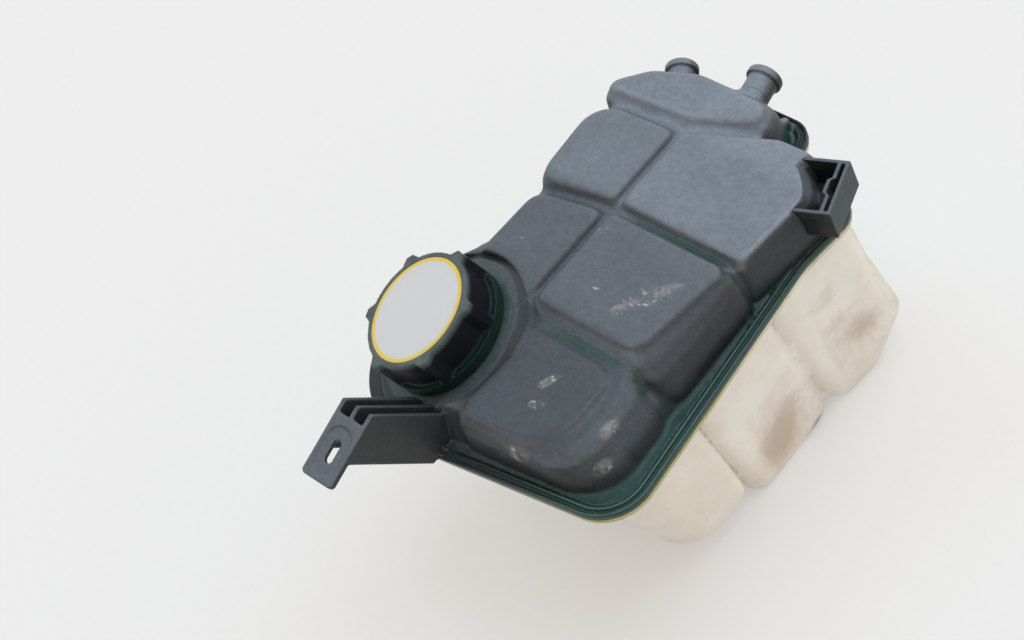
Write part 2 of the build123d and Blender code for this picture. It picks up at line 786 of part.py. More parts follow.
def coil_spring(radius, wire, turns, low, high):
    """A helical spring between two levels on the neck's axis."""
    rise = high - low - wire - 2 * seat_clearance
    start = neck.offset(low + wire / 2 + seat_clearance)
    with BuildPart() as spring:
        with BuildLine():
            path = Helix(rise / turns, rise, radius, center=start.origin, direction=start.z_dir)
        with BuildSketch(Plane(origin=path @ 0, z_dir=path % 0)):
            RegularPolygon(wire / 2, 6)
        sweep(path=path, is_frenet=True)
    return spring.part


with BuildPart() as pressure_spring:
    add(coil_spring(pressure_coil_radius, pressure_wire, pressure_turns, plate_high, retainer_low))
pressure_spring.part.label = "pressure_spring"

with BuildPart() as vacuum_spring:
    add(coil_spring(vacuum_coil_radius, vacuum_wire, vacuum_turns, plate_high, clip_low))
vacuum_spring.part.label = "vacuum_spring"

os.makedirs("parts", exist_ok=True)
for piece in (upper_shell, lower_shell, cap_cover, cap_label, valve_housing, neck_seal, spring_retainer,
              plate_gasket, pressure_plate, vacuum_valve, stem_clip, pressure_spring, vacuum_spring):
    export_step(piece.part, f"parts/{piece.part.label}.step")
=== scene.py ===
import math

import bmesh
import bpy
import numpy as np
from mathutils import Matrix, Vector


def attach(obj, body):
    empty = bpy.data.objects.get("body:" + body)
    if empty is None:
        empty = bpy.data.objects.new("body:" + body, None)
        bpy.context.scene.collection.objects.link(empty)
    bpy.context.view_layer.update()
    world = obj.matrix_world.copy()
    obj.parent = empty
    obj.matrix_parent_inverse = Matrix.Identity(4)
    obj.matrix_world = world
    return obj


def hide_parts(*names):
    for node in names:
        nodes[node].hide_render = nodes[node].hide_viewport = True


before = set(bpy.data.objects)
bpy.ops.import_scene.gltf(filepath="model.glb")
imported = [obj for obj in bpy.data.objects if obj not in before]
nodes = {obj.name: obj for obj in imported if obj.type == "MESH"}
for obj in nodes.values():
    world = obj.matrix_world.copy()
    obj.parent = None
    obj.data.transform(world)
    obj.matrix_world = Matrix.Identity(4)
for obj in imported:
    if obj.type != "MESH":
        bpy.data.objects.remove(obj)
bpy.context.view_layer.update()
scene = bpy.context.scene
print("frame loaded:", len(nodes), "solids")

mm = 0.001


def addObject(name, data):
    made = bpy.data.objects.new(name, data)
    scene.collection.objects.link(made)
    return made


# the neck leans, so the cap and all inside it turn about this line
neck = {
    "centre": Vector((-55.9, -64.4, 119.0)) * mm,
    "axis": Vector((-0.232559, -0.245322, 0.941134)),
}

# weld flange, the same corners as the solid, in mm
flange = {
    "corners": [(-103.0, -115.0), (-30.0, -115.0), (80.5, -99.4), (62.5, 57.0), (66.0, 95.5), (19.0, 106.0),
                (16.0, 124.0), (-50.0, 124.0), (-87.5, 90.0), (-82.0, -12.0), (-103.0, -42.0)],
    "radii": [50, 60, 25, 60, 14, 8, 14, 30, 25, 30, 34],
    "foot": 95.7,
    "weld": 99.5,
    "solidWeld": 97.5,
    "top": 102.0,
    "lowerStep": 0.9,
    "cover": 6.6,
}


# camera: long lens, rolled, at the photograph's place
view = {
    "place": (0.7117, -0.3709, 1.0368),
    "back": (0.607, -0.267, 0.748),
    "right": (0.691, 0.639, -0.334),
    "lens": 91.41,
    "sensor": 36.0,
}


def makeCamera():
    back = Vector(view["back"]).normalized()
    right = Vector(view["right"])
    right = (right - back * right.dot(back)).normalized()
    up = back.cross(right)
    data = bpy.data.cameras.new("photoCamera")
    data.lens = view["lens"]
    data.sensor_width = view["sensor"]
    data.sensor_fit = "HORIZONTAL"
    data.clip_start = 0.01
    data.clip_end = 50.0
    cam = addObject("photoCamera", data)
    turn = Matrix((right, up, back)).transposed().to_4x4()
    cam.matrix_world = Matrix.Translation(Vector(view["place"])) @ turn
    scene.camera = cam


makeCamera()
scene.view_settings.view_transform = "Standard"
print("camera set")


# node helpers
def put(tree, kind, ins=None, **settings):
    node = tree.nodes.new(kind)
    for name, value in settings.items():
        setattr(node, name, value)
    for key, value in (ins or {}).items():
        if isinstance(value, bpy.types.NodeSocket):
            tree.links.new(value, node.inputs[key])
        else:
            node.inputs[key].default_value = value
    return node


def calc(tree, operation, a, b=0.0, clamp=False):
    return put(tree, "ShaderNodeMath", {0: a, 1: b}, operation=operation, use_clamp=clamp).outputs[0]


def vectorCalc(tree, operation, a, b=(0.0, 0.0, 0.0), output="Vector"):
    return put(tree, "ShaderNodeVectorMath", {0: a, 1: b}, operation=operation).outputs[output]


def times(tree, a, b, clamp=False):
    return calc(tree, "MULTIPLY", a, b, clamp)


def blendColour(tree, factor, a, b, mode="MIX"):
    return put(tree, "ShaderNodeMix", {0: factor, 6: a, 7: b}, data_type="RGBA", blend_type=mode).outputs[2]


# a second colour laid over the first by a mask, at its own strength
def coat(tree, colour, mask, strength, over):
    return blendColour(tree, times(tree, mask, strength), colour, over)


def grey(tree, value):
    return put(tree, "ShaderNodeCombineColor", {0: value, 1: value, 2: value}).outputs[0]


def blendValue(tree, factor, a, b):
    return put(tree, "ShaderNodeMix", {0: factor, 2: a, 3: b}, data_type="FLOAT").outputs[0]


def span(tree, value, low, high, toLow=0.0, toHigh=1.0):
    ins = {"Value": value, "From Min": low, "From Max": high, "To Min": toLow, "To Max": toHigh}
    return put(tree, "ShaderNodeMapRange", ins, interpolation_type="SMOOTHSTEP").outputs["Result"]


def noise(tree, place, scale, detail=3.0, rough=0.55, distort=0.0):
    ins = {"Vector": place, "Scale": scale, "Detail": detail, "Roughness": rough, "Distortion": distort}
    return put(tree, "ShaderNodeTexNoise", ins).outputs[0]


def objectPlace(tree):
    return put(tree, "ShaderNodeTexCoord").outputs["Object"]


def attribute(tree, name):
    return put(tree, "ShaderNodeAttribute", attribute_name=name, attribute_type="GEOMETRY").outputs["Fac"]


def newGroup(name, ins, outs):
    group = bpy.data.node_groups.new(name, "ShaderNodeTree")
    kind = "NodeSocketFloat"
    for label, start in ins:
        group.interface.new_socket(name=label, in_out="INPUT", socket_type=kind).default_value = start
    for label in outs:
        group.interface.new_socket(name=label, in_out="OUTPUT", socket_type=kind)
    return group, group.nodes.new("NodeGroupInput").outputs, group.nodes.new("NodeGroupOutput").inputs


def useGroup(tree, group, **values):
    return put(tree, "ShaderNodeGroup", values, node_tree=group).outputs


# fine pebbled skin of a moulding, with a slower change of tone
def makeGrain():
    group, ins, outs = newGroup("mouldedGrain", [("Scale", 1500.0), ("Drift", 60.0)], ["Height", "Tone"])
    place = objectPlace(group)
    fine = noise(group, place, ins["Scale"], 2.0, 0.6)
    coarse = noise(group, place, times(group, ins["Scale"], 0.22), 2.0, 0.5)
    height = calc(group, "ADD", times(group, fine, 0.65), times(group, coarse, 0.35))
    tone = span(group, noise(group, place, ins["Drift"], 4.0, 0.6), 0.3, 0.7)
    group.links.new(height, outs["Height"])
    group.links.new(tone, outs["Tone"])
    return group


# rubbed marks and short scratches inside a mask
def makeScuffs():
    group, ins, outs = newGroup("rubbedScuffs", [("Amount", 0.0), ("Scale", 260.0)], ["Mask"])
    place = objectPlace(group)
    turned = put(group, "ShaderNodeMapping", {"Vector": place, "Rotation": (0.0, 0.0, 0.6),
                                              "Scale": (1.0, 2.4, 1.0)}).outputs[0]
    fine = noise(group, turned, times(group, ins["Scale"], 1.7), 4.0, 0.65)
    dots = span(group, fine, 0.57, 0.70)
    smear = span(group, noise(group, place, times(group, ins["Scale"], 0.6), 7.0, 0.75, 0.5), 0.40, 0.72)
    worn = calc(group, "ADD", times(group, smear, 0.34), times(group, dots, 0.75))
    shape = span(group, ins["Amount"], 0.25, 0.85)
    mask = times(group, worn, shape, True)
    group.links.new(mask, outs["Mask"])
    return group


# cloudy breaking up of dirt or a dried film
def makeGrime():
    group, ins, outs = newGroup("cloudyGrime", [("Amount", 0.0), ("Scale", 45.0), ("Cover", 0.5)], ["Mask"])
    place = objectPlace(group)
    slow = noise(group, place, ins["Scale"], 5.0, 0.62, 0.6)
    quick = noise(group, place, times(group, ins["Scale"], 7.0), 3.0, 0.6)
    cloud = calc(group, "ADD", times(group, slow, 0.72), times(group, quick, 0.28))
    reach = calc(group, "ADD", cloud, calc(group, "SUBTRACT", ins["Amount"], 1.0))
    mask = span(group, reach, times(group, ins["Cover"], -0.5), times(group, ins["Cover"], 1.1))
    group.links.new(mask, outs["Mask"])
    return group


# pinpoint specks of dust and spatter
def makeSpecks():
    group, ins, outs = newGroup("dustSpecks", [("Scale", 420.0), ("Share", 0.3)], ["Mask"])
    place = objectPlace(group)
    cells = put(group, "ShaderNodeTexVoronoi", {"Vector": place, "Scale": ins["Scale"], "Randomness": 1.0})
    dot = span(group, cells.outputs["Distance"], 0.26, 0.1)
    chosen = put(group, "ShaderNodeSeparateColor", {0: cells.outputs["Color"]}).outputs[0]
    keep = calc(group, "LESS_THAN", chosen, ins["Share"])
    group.links.new(times(group, dot, keep), outs["Mask"])
    return group


grainGroup = makeGrain()
scuffGroup = makeScuffs()
grimeGroup = makeGrime()
speckGroup = makeSpecks()


def grime(tree, amount, scale, cover):
    return useGroup(tree, grimeGroup, Amount=amount, Scale=scale, Cover=cover)["Mask"]


def painted(tree, name, scale, cover):
    return grime(tree, attribute(tree, name), scale, cover)


def specks(tree, scale, share):
    return useGroup(tree, speckGroup, Scale=scale, Share=share)["Mask"]


def newMaterial(name):
    material = bpy.data.materials.new(name)
    material.use_nodes = True
    tree = material.node_tree
    tree.nodes.clear()
    shader = put(tree, "ShaderNodeBsdfPrincipled")
    put(tree, "ShaderNodeOutputMaterial", {"Surface": shader.outputs[0]})
    return material, tree, shader


def dress(tree, shader, colour, rough, grain, strength, distance, gloss=0.5):
    tree.links.new(colour, shader.inputs["Base Color"])
    tree.links.new(rough, shader.inputs["Roughness"])
    bump = put(tree, "ShaderNodeBump", {"Strength": strength, "Distance": distance, "Height": grain["Height"]})
    tree.links.new(bump.outputs[0], shader.inputs["Normal"])
    shader.inputs["Specular IOR Level"].default_value = gloss


# dark upper moulding: crowns lighter with dust and painted sheen, darker walls, green coolant film with
# painted glints, painted shade in creases and recesses, rubbed spots, and lighter worn edges that are a
# painted highlight on the flange ridges
darkMoulding = {
    "wall": (0.034, 0.038, 0.042, 1.0),
    "crown": (0.242, 0.284, 0.340, 1.0),
    "edge": (0.20, 0.24, 0.25, 1.0),
    "film": (0.008, 0.050, 0.035, 1.0),
    "soot": (0.006, 0.008, 0.010, 1.0),
    "glint": (0.18, 0.32, 0.26, 1.0),
    "scuff": (0.60, 0.60, 0.59, 1.0),
    "speck": (0.34, 0.36, 0.38, 1.0),
    "rough": 0.44,
    "filmRough": 0.24,
    "gloss": 0.24,
    "grainScale": 1500.0,
}


def makeDarkMoulding():
    values = darkMoulding
    material, tree, shader = newMaterial("darkMoulding")
    grain = useGroup(tree, grainGroup, Scale=values["grainScale"], Drift=38.0)
    normal = put(tree, "ShaderNodeNewGeometry").outputs["Normal"]
    upward = put(tree, "ShaderNodeSeparateXYZ", {0: normal}).outputs[2]
    # crowns: real dust and painted sheen, lighter on faces turned up and where the paint marks them
    dustTone = times(tree, blendValue(tree, grain["Tone"], 0.86, 1.0), attribute(tree, "dust"))
    dust = times(tree, span(tree, upward, 0.12, 0.97), dustTone)
    colour = blendColour(tree, dust, values["wall"], values["crown"])
    mottle = span(tree, grain["Height"], 0.35, 0.65, 0.84, 1.14)
    colour = blendColour(tree, 1.0, colour, grey(tree, mottle), "MULTIPLY")
    rough = blendValue(tree, grain["Tone"], values["rough"] - 0.05, values["rough"] + 0.06)
    dots = specks(tree, 760.0, 0.10)
    speckMask = times(tree, dots, blendValue(tree, grain["Tone"], 0.05, 0.45))
    colour = blendColour(tree, speckMask, colour, values["speck"])
    film = painted(tree, "film", 55.0, 0.55)
    colour = coat(tree, colour, film, 0.88, values["film"])
    # painted glints: light specks in the coolant film
    glintSpecks = specks(tree, 620.0, 0.30)
    colour = coat(tree, colour, times(tree, glintSpecks, film), 0.4, values["glint"])
    rough = blendValue(tree, film, rough, values["filmRough"])
    # painted shade: near-black darkening where the paint marks creases, recesses and faces turned from the
    # light
    soot = painted(tree, "soot", 90.0, 0.5)
    colour = coat(tree, colour, soot, 0.92, values["soot"])
    # lighter convex edges: wear, and a painted highlight along the flange's ridge tops
    worn = painted(tree, "edge", 120.0, 0.6)
    colour = coat(tree, colour, worn, 0.34, values["edge"])
    rubbed = useGroup(tree, scuffGroup, Amount=attribute(tree, "scuff"), Scale=150.0)["Mask"]
    colour = blendColour(tree, rubbed, colour, values["scuff"])
    rough = blendValue(tree, rubbed, rough, 0.7)
    dress(tree, shader, colour, rough, grain, 0.30, 0.00025, values["gloss"])
    return material


# cloudy cream lower moulding with dirt below the crease and in the grooves
creamMoulding = {
    "clean": (0.815, 0.79, 0.75, 1.0),
    "cloud": (0.75, 0.695, 0.62, 1.0),
    "dirt": (0.44, 0.34, 0.27, 1.0),
    "deepDirt": (0.17, 0.13, 0.14, 1.0),
    "coolant": (0.34, 0.36, 0.06, 1.0),
    "rough": 0.46,
    "gloss": 0.30,
}


def makeCreamMoulding():
    values = creamMoulding
    material, tree, shader = newMaterial("creamMoulding")
    grain = useGroup(tree, grainGroup, Scale=900.0, Drift=26.0)
    colour = blendColour(tree, grain["Tone"], values["clean"], values["cloud"])
    dirt = painted(tree, "dirt", 38.0, 0.45)
    colour = coat(tree, colour, dirt, 0.72, values["dirt"])
    deep = painted(tree, "deepDirt", 70.0, 0.4)
    colour = coat(tree, colour, deep, 0.8, values["deepDirt"])
    wet = painted(tree, "coolant", 70.0, 0.6)
    colour = coat(tree, colour, wet, 0.9, values["coolant"])
    dots = specks(tree, 420.0, 0.10)
    colour = coat(tree, colour, dots, 0.35, values["dirt"])
    rough = blendValue(tree, dirt, values["rough"], values["rough"] + 0.25)
    shader.inputs["Subsurface Weight"].default_value = 0.12
    shader.inputs["Subsurface Radius"].default_value = (1.0, 0.75, 0.5)
    shader.inputs["Subsurface Scale"].default_value = 0.004
    dress(tree, shader, colour, rough, grain, 0.18, 0.0003, values["gloss"])
    return material


# distance from the neck's line and height along it, for the round pieces
def roundPlace(tree):
    axis = tuple(neck["axis"])
    out = vectorCalc(tree, "SUBTRACT", objectPlace(tree), tuple(neck["centre"]))
    radius = vectorCalc(tree, "LENGTH", vectorCalc(tree, "CROSS_PRODUCT", out, axis), output="Value")
    height = vectorCalc(tree, "DOT_PRODUCT", out, axis, "Value")
    return radius, height


# black cap moulding: grey rubbed rim, glossy green film low down
capMoulding = {
    "side": (0.006, 0.007, 0.010, 1.0),
    "rim": (0.105, 0.138, 0.138, 1.0),
    "film": (0.005, 0.026, 0.018, 1.0),
    "rough": 0.32,
    "filmRough": 0.42,
    "gloss": 0.16,
}


def makeCapMoulding():
    values = capMoulding
    material, tree, shader = newMaterial("capMoulding")
    grain = useGroup(tree, grainGroup, Scale=1700.0, Drift=70.0)
    _, height = roundPlace(tree)
    top = span(tree, height, 0.0205, 0.0244)
    dusty = times(tree, top, blendValue(tree, grain["Tone"], 0.6, 1.0))
    colour = blendColour(tree, dusty, values["side"], values["rim"])
    worn = painted(tree, "edge", 160.0, 0.6)
    worn = times(tree, worn, span(tree, height, 0.016, 0.024, 0.0, 0.40))
    colour = blendColour(tree, worn, colour, values["rim"])
    low = span(tree, height, 0.013, 0.004)
    film = grime(tree, low, 80.0, 0.6)
    colour = coat(tree, colour, film, 0.85, values["film"])
    dots = specks(tree, 620.0, 0.10)
    colour = coat(tree, colour, dots, 0.22, values["rim"])
    rough = blendValue(tree, grain["Tone"], values["rough"], values["rough"] + 0.1)
    rough = blendValue(tree, film, rough, values["filmRough"])
    dress(tree, shader, colour, rough, grain, 0.22, 0.0002, values["gloss"])
    return material


# printed disc: white film with a yellow ring at its edge, a little rubbed
labelFilm = {
    "white": (0.63, 0.65, 0.66, 1.0),
    "yellow": (0.80, 0.56, 0.04, 1.0),
    "soil": (0.42, 0.40, 0.36, 1.0),
    "ringInner": 0.0259,
    "rough": 0.32,
    "rubbedRough": 0.6,
}


def makeLabelFilm():
    values = labelFilm
    material, tree, shader = newMaterial("labelFilm")
    grain = useGroup(tree, grainGroup, Scale=1100.0, Drift=90.0)
    radius, _ = roundPlace(tree)
    ring = span(tree, radius, values["ringInner"] - 0.0002, values["ringInner"] + 0.0002)
    colour = blendColour(tree, ring, values["white"], values["yellow"])
    rim = span(tree, radius, 0.012, 0.030)
    soil = grime(tree, times(tree, rim, 0.6), 90.0, 0.6)
    colour = coat(tree, colour, soil, 0.25, values["soil"])
    rubbed = useGroup(tree, scuffGroup, Amount=0.5, Scale=420.0)["Mask"]
    colour = coat(tree, colour, rubbed, 0.3, values["soil"])
    rough = blendValue(tree, rubbed, values["rough"], values["rubbedRough"])
    dress(tree, shader, colour, rough, grain, 0.08, 0.0001)
    return material


# pieces of the valve, unseen while the cap is on
valveFinishes = {
    # colour, soil, roughness, metal
    "housingPlastic": ((0.62, 0.60, 0.54, 1.0), (0.30, 0.33, 0.16, 1.0), 0.45, 0.0),
    "sealRubber": ((0.022, 0.022, 0.024, 1.0), (0.07, 0.08, 0.07, 1.0), 0.62, 0.0),
    "valveMetal": ((0.56, 0.53, 0.44, 1.0), (0.24, 0.21, 0.13, 1.0), 0.34, 1.0),
    "springSteel": ((0.52, 0.52, 0.53, 1.0), (0.25, 0.19, 0.12, 1.0), 0.30, 1.0),
}


def makeValveFinish(name):
    clean, soiled, roughness, metal = valveFinishes[name]
    material, tree, shader = newMaterial(name)
    grain = useGroup(tree, grainGroup, Scale=2200.0, Drift=160.0)
    soil = grime(tree, 0.55, 190.0, 0.7)
    colour = coat(tree, clean, soil, 0.5, soiled)
    rough = blendValue(tree, grain["Tone"], roughness - 0.06, roughness + 0.12)
    shader.inputs["Metallic"].default_value = metal
    dress(tree, shader, colour, rough, grain, 0.15, 0.0001)
    return material


finishes = {
    "upper_plastic": makeDarkMoulding(),
    "lower_plastic": makeCreamMoulding(),
    "cap_plastic": makeCapMoulding(),
    "label_film": makeLabelFilm(),
    "housing_plastic": makeValveFinish("housingPlastic"),
    "seal_rubber": makeValveFinish("sealRubber"),
    "valve_metal": makeValveFinish("valveMetal"),
    "spring_steel": makeValveFinish("springSteel"),
}
print("finishes made:", len(finishes))


# outlines with rounded corners, as points with their outward directions, in mm
def roundedOutline(corners, radii, step):
    count = len(corners)
    places, outward = [], []
    for index in range(count):
        here = Vector(corners[index])
        before = (here - Vector(corners[index - 1])).normalized()
        after = (Vector(corners[(index + 1) % count]) - here).normalized()
        turn = math.atan2(before.x * after.y - before.y * after.x, before.dot(after))
        reach = radii[index] * abs(math.tan(turn / 2))
        side = 1.0 if turn > 0 else -1.0
        start = here - before * reach
        hub = start + Vector((-before.y, before.x)) * radii[index] * side
        pieces = max(4, int(radii[index] * abs(turn) / step))
        first = math.atan2(start.y - hub.y, start.x - hub.x)
        for part in range(pieces + 1):
            angle = first + turn * part / pieces
            ray = Vector((math.cos(angle), math.sin(angle)))
            places.append(hub + ray * radii[index])
            outward.append(ray * side)
    return places, outward


def evenOutline(corners, radii, step):
    places, outward = roundedOutline(corners, radii, step)
    allPlaces, allOut = [], []
    for index, (here, ray) in enumerate(zip(places, outward)):
        after = places[(index + 1) % len(places)]
        rayAfter = outward[(index + 1) % len(places)]
        parts = max(1, int((after - here).length / step))
        for part in range(parts):
            share = part / parts
            allPlaces.append(here.lerp(after, share))
            allOut.append(ray.lerp(rayAfter, share).normalized())
    return allPlaces, allOut


def flangeOutline(step):
    return evenOutline(flange["corners"], flange["radii"], step)


# a closed profile carried round a closed outline: profile points are (inwards, height) in mm
def sweptRing(places, outward, profileAt):
    count, width = len(places), len(profileAt(0))
    points = []
    for index, (here, ray) in enumerate(zip(places, outward)):
        for inwards, height in profileAt(index):
            flat = here - ray * inwards
            points.append((flat.x * mm, flat.y * mm, height * mm))
    faces = []
    for index in range(count):
        after = (index + 1) % count
        for k in range(width):
            n = (k + 1) % width
            faces.append((index * width + k, after * width + k, after * width + n, index * width + n))
    return points, faces


def addPiece(name, points, faces, body, slotName, replaced=None):
    mesh = bpy.data.meshes.new(name)
    mesh.from_pydata(points, [], faces)
    mesh.validate()
    bm = bmesh.new()
    bm.from_mesh(mesh)
    bmesh.ops.recalc_face_normals(bm, faces=bm.faces)
    bm.to_mesh(mesh)
    bm.free()
    return placePiece(name, mesh, body, slotName, replaced)


def placePiece(name, mesh, body, slotName, replaced=None):
    piece = addObject(name, mesh)
    mesh.materials.clear()
    mesh.materials.append(finishes[slotName])
    for face in mesh.polygons:
        face.use_smooth = True
    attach(piece, body)
    if replaced:
        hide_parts(replaced)
    print(name + ":", len(mesh.polygons), "faces")
    return piece


# plugs close the way into a hollow, so that only the outside of a moulding is skinned
def plugDisc(bm, centre, axis, radius, thickness):
    turn = Vector(axis).to_track_quat("Z", "Y").to_matrix().to_4x4()
    bmesh.ops.create_cone(bm, cap_ends=True, segments=32, radius1=radius * mm, radius2=radius * mm,
                          depth=thickness * mm, matrix=Matrix.Translation(Vector(centre) * mm) @ turn)


def prism(bm, low, high):
    foot, top = [[bm.verts.new(place) for place in ring] for ring in (low, high)]
    bm.faces.new(foot[::-1])
    bm.faces.new(top)
    for index in range(len(foot)):
        after = (index + 1) % len(foot)
        bm.faces.new((foot[index], foot[after], top[after], top[index]))


def plugSheet(bm, inwards, low, high):
    places, outward = flangeOutline(6.0)
    flat = [((place - ray * inwards) * mm).to_3d() for place, ray in zip(places, outward)]
    prism(bm, *[[place + Vector((0, 0, height * mm)) for place in flat] for height in (low, high)])


# fills a moulding from level to level, where its wall is too thin for the net
def plugLevels(bm, levels, radii):
    rings = []
    for height, drawn, corners in levels:
        places, outward = evenOutline(corners, radii, 3.0)
        rings.append([(x - drawn * u, y - drawn * v, height) for (x, y), (u, v) in zip(places, outward)])
    for low, high in zip(rings, rings[1:]):
        made = [bm.verts.new(Vector(place) * mm) for place in low + high]
        hull = bmesh.ops.convex_hull(bm, input=made)
        spare = hull["geom_interior"] + hull["geom_unused"]
        loose = {item for item in spare if isinstance(item, bmesh.types.BMVert)}
        bmesh.ops.delete(bm, geom=list(loose), context="VERTS")


def neighbourMean(points, pairs, share):
    total = np.zeros_like(points)
    for axis in range(3):
        total[:, axis] = (np.bincount(pairs[:, 0], points[pairs[:, 1], axis], len(points))
                          + np.bincount(pairs[:, 1], points[pairs[:, 0], axis], len(points)))
    return total / share


# evens out the net: two steps keep the form's size, one step alone rounds its edges
def relaxed(points, pairs, rounds, weight=1.0, steps=(0.50, -0.52)):
    share = np.maximum(np.bincount(pairs.ravel(), minlength=len(points)), 1)[:, None]
    weight = np.reshape(weight, (-1, 1))
    points = points.copy()
    for _ in range(rounds):
        for step in steps:
            points += weight * step * (neighbourMean(points, pairs, share) - points)
    return points


# a place in mm and a turn about Z in degrees, as one move
def standing(place, turn):
    return Matrix.Translation(Vector(place) * mm) @ Matrix.Rotation(math.radians(turn), 4, "Z")


# a box turned about Z: centre, turn in degrees and half sizes in mm
def boxTurn(zone):
    return standing(zone["centre"], zone["turn"])


def boxShare(points, zone, soft):
    back = np.array(boxTurn(zone).inverted())
    local = (points @ back[:3, :3].T + back[:3, 3]) / mm
    return ramp((np.array(zone["half"]) - np.abs(local)).min(1), 0.0, soft)


def meshFrom(bm, name):
    mesh = bpy.data.meshes.new(name)
    bm.to_mesh(mesh)
    bm.free()
    return mesh


def readAll(items, field, width, kind=float):
    values = np.zeros(len(items) * width, kind)
    items.foreach_get(field, values)
    return values.reshape(-1, width)


# a moulding skinned with an even net, whole or only where a box holds it
def skinned(name, nodeName, voxel, plug=None, zone=None):
    bm = bmesh.new()
    if nodeName:
        bm.from_mesh(nodes[nodeName].data)
        bmesh.ops.remove_doubles(bm, verts=bm.verts, dist=1e-6)
    if plug:
        plug(bm)
    mesh = meshFrom(bm, name + "Source")
    source = addObject(name + "Source", mesh)
    cutter = None
    if zone:
        bm = bmesh.new()
        size = Matrix.Diagonal([2 * half * mm for half in zone["half"]] + [1.0])
        bmesh.ops.create_cube(bm, size=1.0, matrix=boxTurn(zone) @ size)
        box = meshFrom(bm, name + "Box")
        cutter = addObject(name + "Box", box)
        cut = source.modifiers.new("cut", "BOOLEAN")
        cut.operation = "INTERSECT"
        cut.solver = "EXACT"
        cut.object = cutter
    skin = source.modifiers.new("skin", "REMESH")
    skin.mode = "VOXEL"
    skin.voxel_size = voxel * mm
    skin.adaptivity = 0.0
    bpy.context.view_layer.update()
    made = bpy.data.meshes.new_from_object(source.evaluated_get(bpy.context.evaluated_depsgraph_get()))
    made.name = name
    bpy.data.objects.remove(source)
    bpy.data.meshes.remove(mesh)
    if cutter:
        bpy.data.objects.remove(cutter)
        bpy.data.meshes.remove(box)
    return made, readAll(made.vertices, "co", 3), readAll(made.edges, "vertices", 2, np.int64)


def facing(mesh):
    return readAll(mesh.vertices, "normal", 3)


# how far a place lies in a hollow (above 0) or on an edge (below 0), in mm
def hollowness(mesh, points, pairs, rounds):
    soft = relaxed(points, pairs, rounds, steps=(0.5,))
    return ((soft - points) * facing(mesh)).sum(1) / mm


def settle(mesh, points):
    mesh.vertices.foreach_set("co", points.ravel())
    mesh.update()


def paint(mesh, **layers):
    for name, values in layers.items():
        layer = mesh.attributes.new(name, "FLOAT", "POINT")
        values = np.zeros(len(mesh.vertices)) + values
        layer.data.foreach_set("value", np.clip(values, 0.0, 1.0).astype(np.float32))


# soft step up from low to high, and down from full to none
def ramp(values, low, high):
    t = np.clip((values - low) / (high - low), 0.0, 1.0)
    return t * t * (3 - 2 * t)


def fade(values, full, none):
    return ramp(-values, -none, -full)


# how far in from the flange's edge a place lies, in mm, and the way out from there
def flangeDepth(points):
    places, outward = flangeOutline(1.0)
    rim, rays = np.array(places), np.array(outward)
    flat = points[:, :2] / mm
    depth, out = np.zeros(len(flat)), np.zeros((len(flat), 2))
    for start in range(0, len(flat), 4000):
        part = flat[start:start + 4000]
        nearest = ((part[:, None, :] - rim[None]) ** 2).sum(2).argmin(1)
        out[start:start + 4000] = rays[nearest]
        depth[start:start + 4000] = ((rim[nearest] - part) * rays[nearest]).sum(1)
    return depth, out


# upper half: a soft skin over the pillows, with the slim features as pieces of their own
upperHalf = {
    "voxel": 1.15,
    "fineRounds": 2,
    "hollowRounds": 26,
    "tuck": 0.9,
    "peg": (3.0, 118.0),
    "neckPlug": 3.5,
    # centre, axis, radius and thickness of the discs that close the two spigots
    "spigotPlugs": [((-12.6, 117.3, 119.0), (-0.207912, 0.978148, 0.0), 6.5, 2.0),
                    ((-53.4, 107.0, 115.0), (-0.615661, 0.788011, 0.0), 5.9, 2.0)],
    # place, reach, strength, turn and stretch of the rubbed marks
    "scuffs": [((27.9, -6.1, 132), 9.0, 0.9, 0.75, 2.2), ((20.3, -18.4, 132), 5.0, 1.0, 0.9, 1.4),
               ((36.4, 4.8, 132), 5.0, 0.7, 0.6, 1.8), ((2.0, -14.0, 132), 2.4, 1.0, 0.0, 1.2),
               ((-18.9, 12.8, 132), 5.0, 0.6, 0.8, 2.2), ((-51.3, 43.3, 132), 6.0, 0.6, 0.0, 1.0),
               ((13.8, -64.3, 128), 4.0, 0.8, 1.1, 3.0), ((17.7, -76.3, 128), 4.0, 1.0, 0.4, 1.6),
               ((53.4, -65.8, 122), 6.0, 0.9, 1.4, 1.8), ((21.6, -97.3, 120), 7.0, 1.0, 0.1, 2.2),
               ((13.2, -104.7, 114), 6.0, 1.0, 0.1, 2.6), ((57.0, -80.0, 112), 6.0, 0.9, 1.2, 1.6),
               ((-51.4, -10.8, 132), 5.0, 0.5, 0.5, 1.8)],
    "rounds": 9,
    "fill": 0.18,
    "foldRounds": 8,
}
slimFeatures = {
    "mountingArm": {"centre": (-36.25, -134.5, 130.0), "turn": 0.0,
                    "half": (12.75, 35.5, 30.0), "voxel": 0.55},
    "bleedSpigot": {"centre": (-14.15, 124.64, 119.0), "turn": 12.0,
                    "half": (11.5, 7.5, 11.5), "voxel": 0.45},
    "returnSpigot": {"centre": (-58.6, 113.67, 115.0), "turn": 38.0,
                     "half": (10.5, 6.5, 10.5), "voxel": 0.45},
}


# pillow behind the clip: its side lines as a place, a way out and how far they lean in at each height
pillowCorner = {
    "heights": (97.5, 120.0, 126.0, 132.0),
    "sides": [((57.0, 27.0), (0.9957, -0.0930), (0.0, 0.7, 1.5, 3.5)),
              ((62.0, 80.5), (0.6715, 0.7410), (0.0, 1.4, 3.6, 7.0)),
              ((46.0, 95.0), (0.0, 1.0), (0.0, 1.4, 3.2, 6.0))],
    "sharp": 0.45,
}
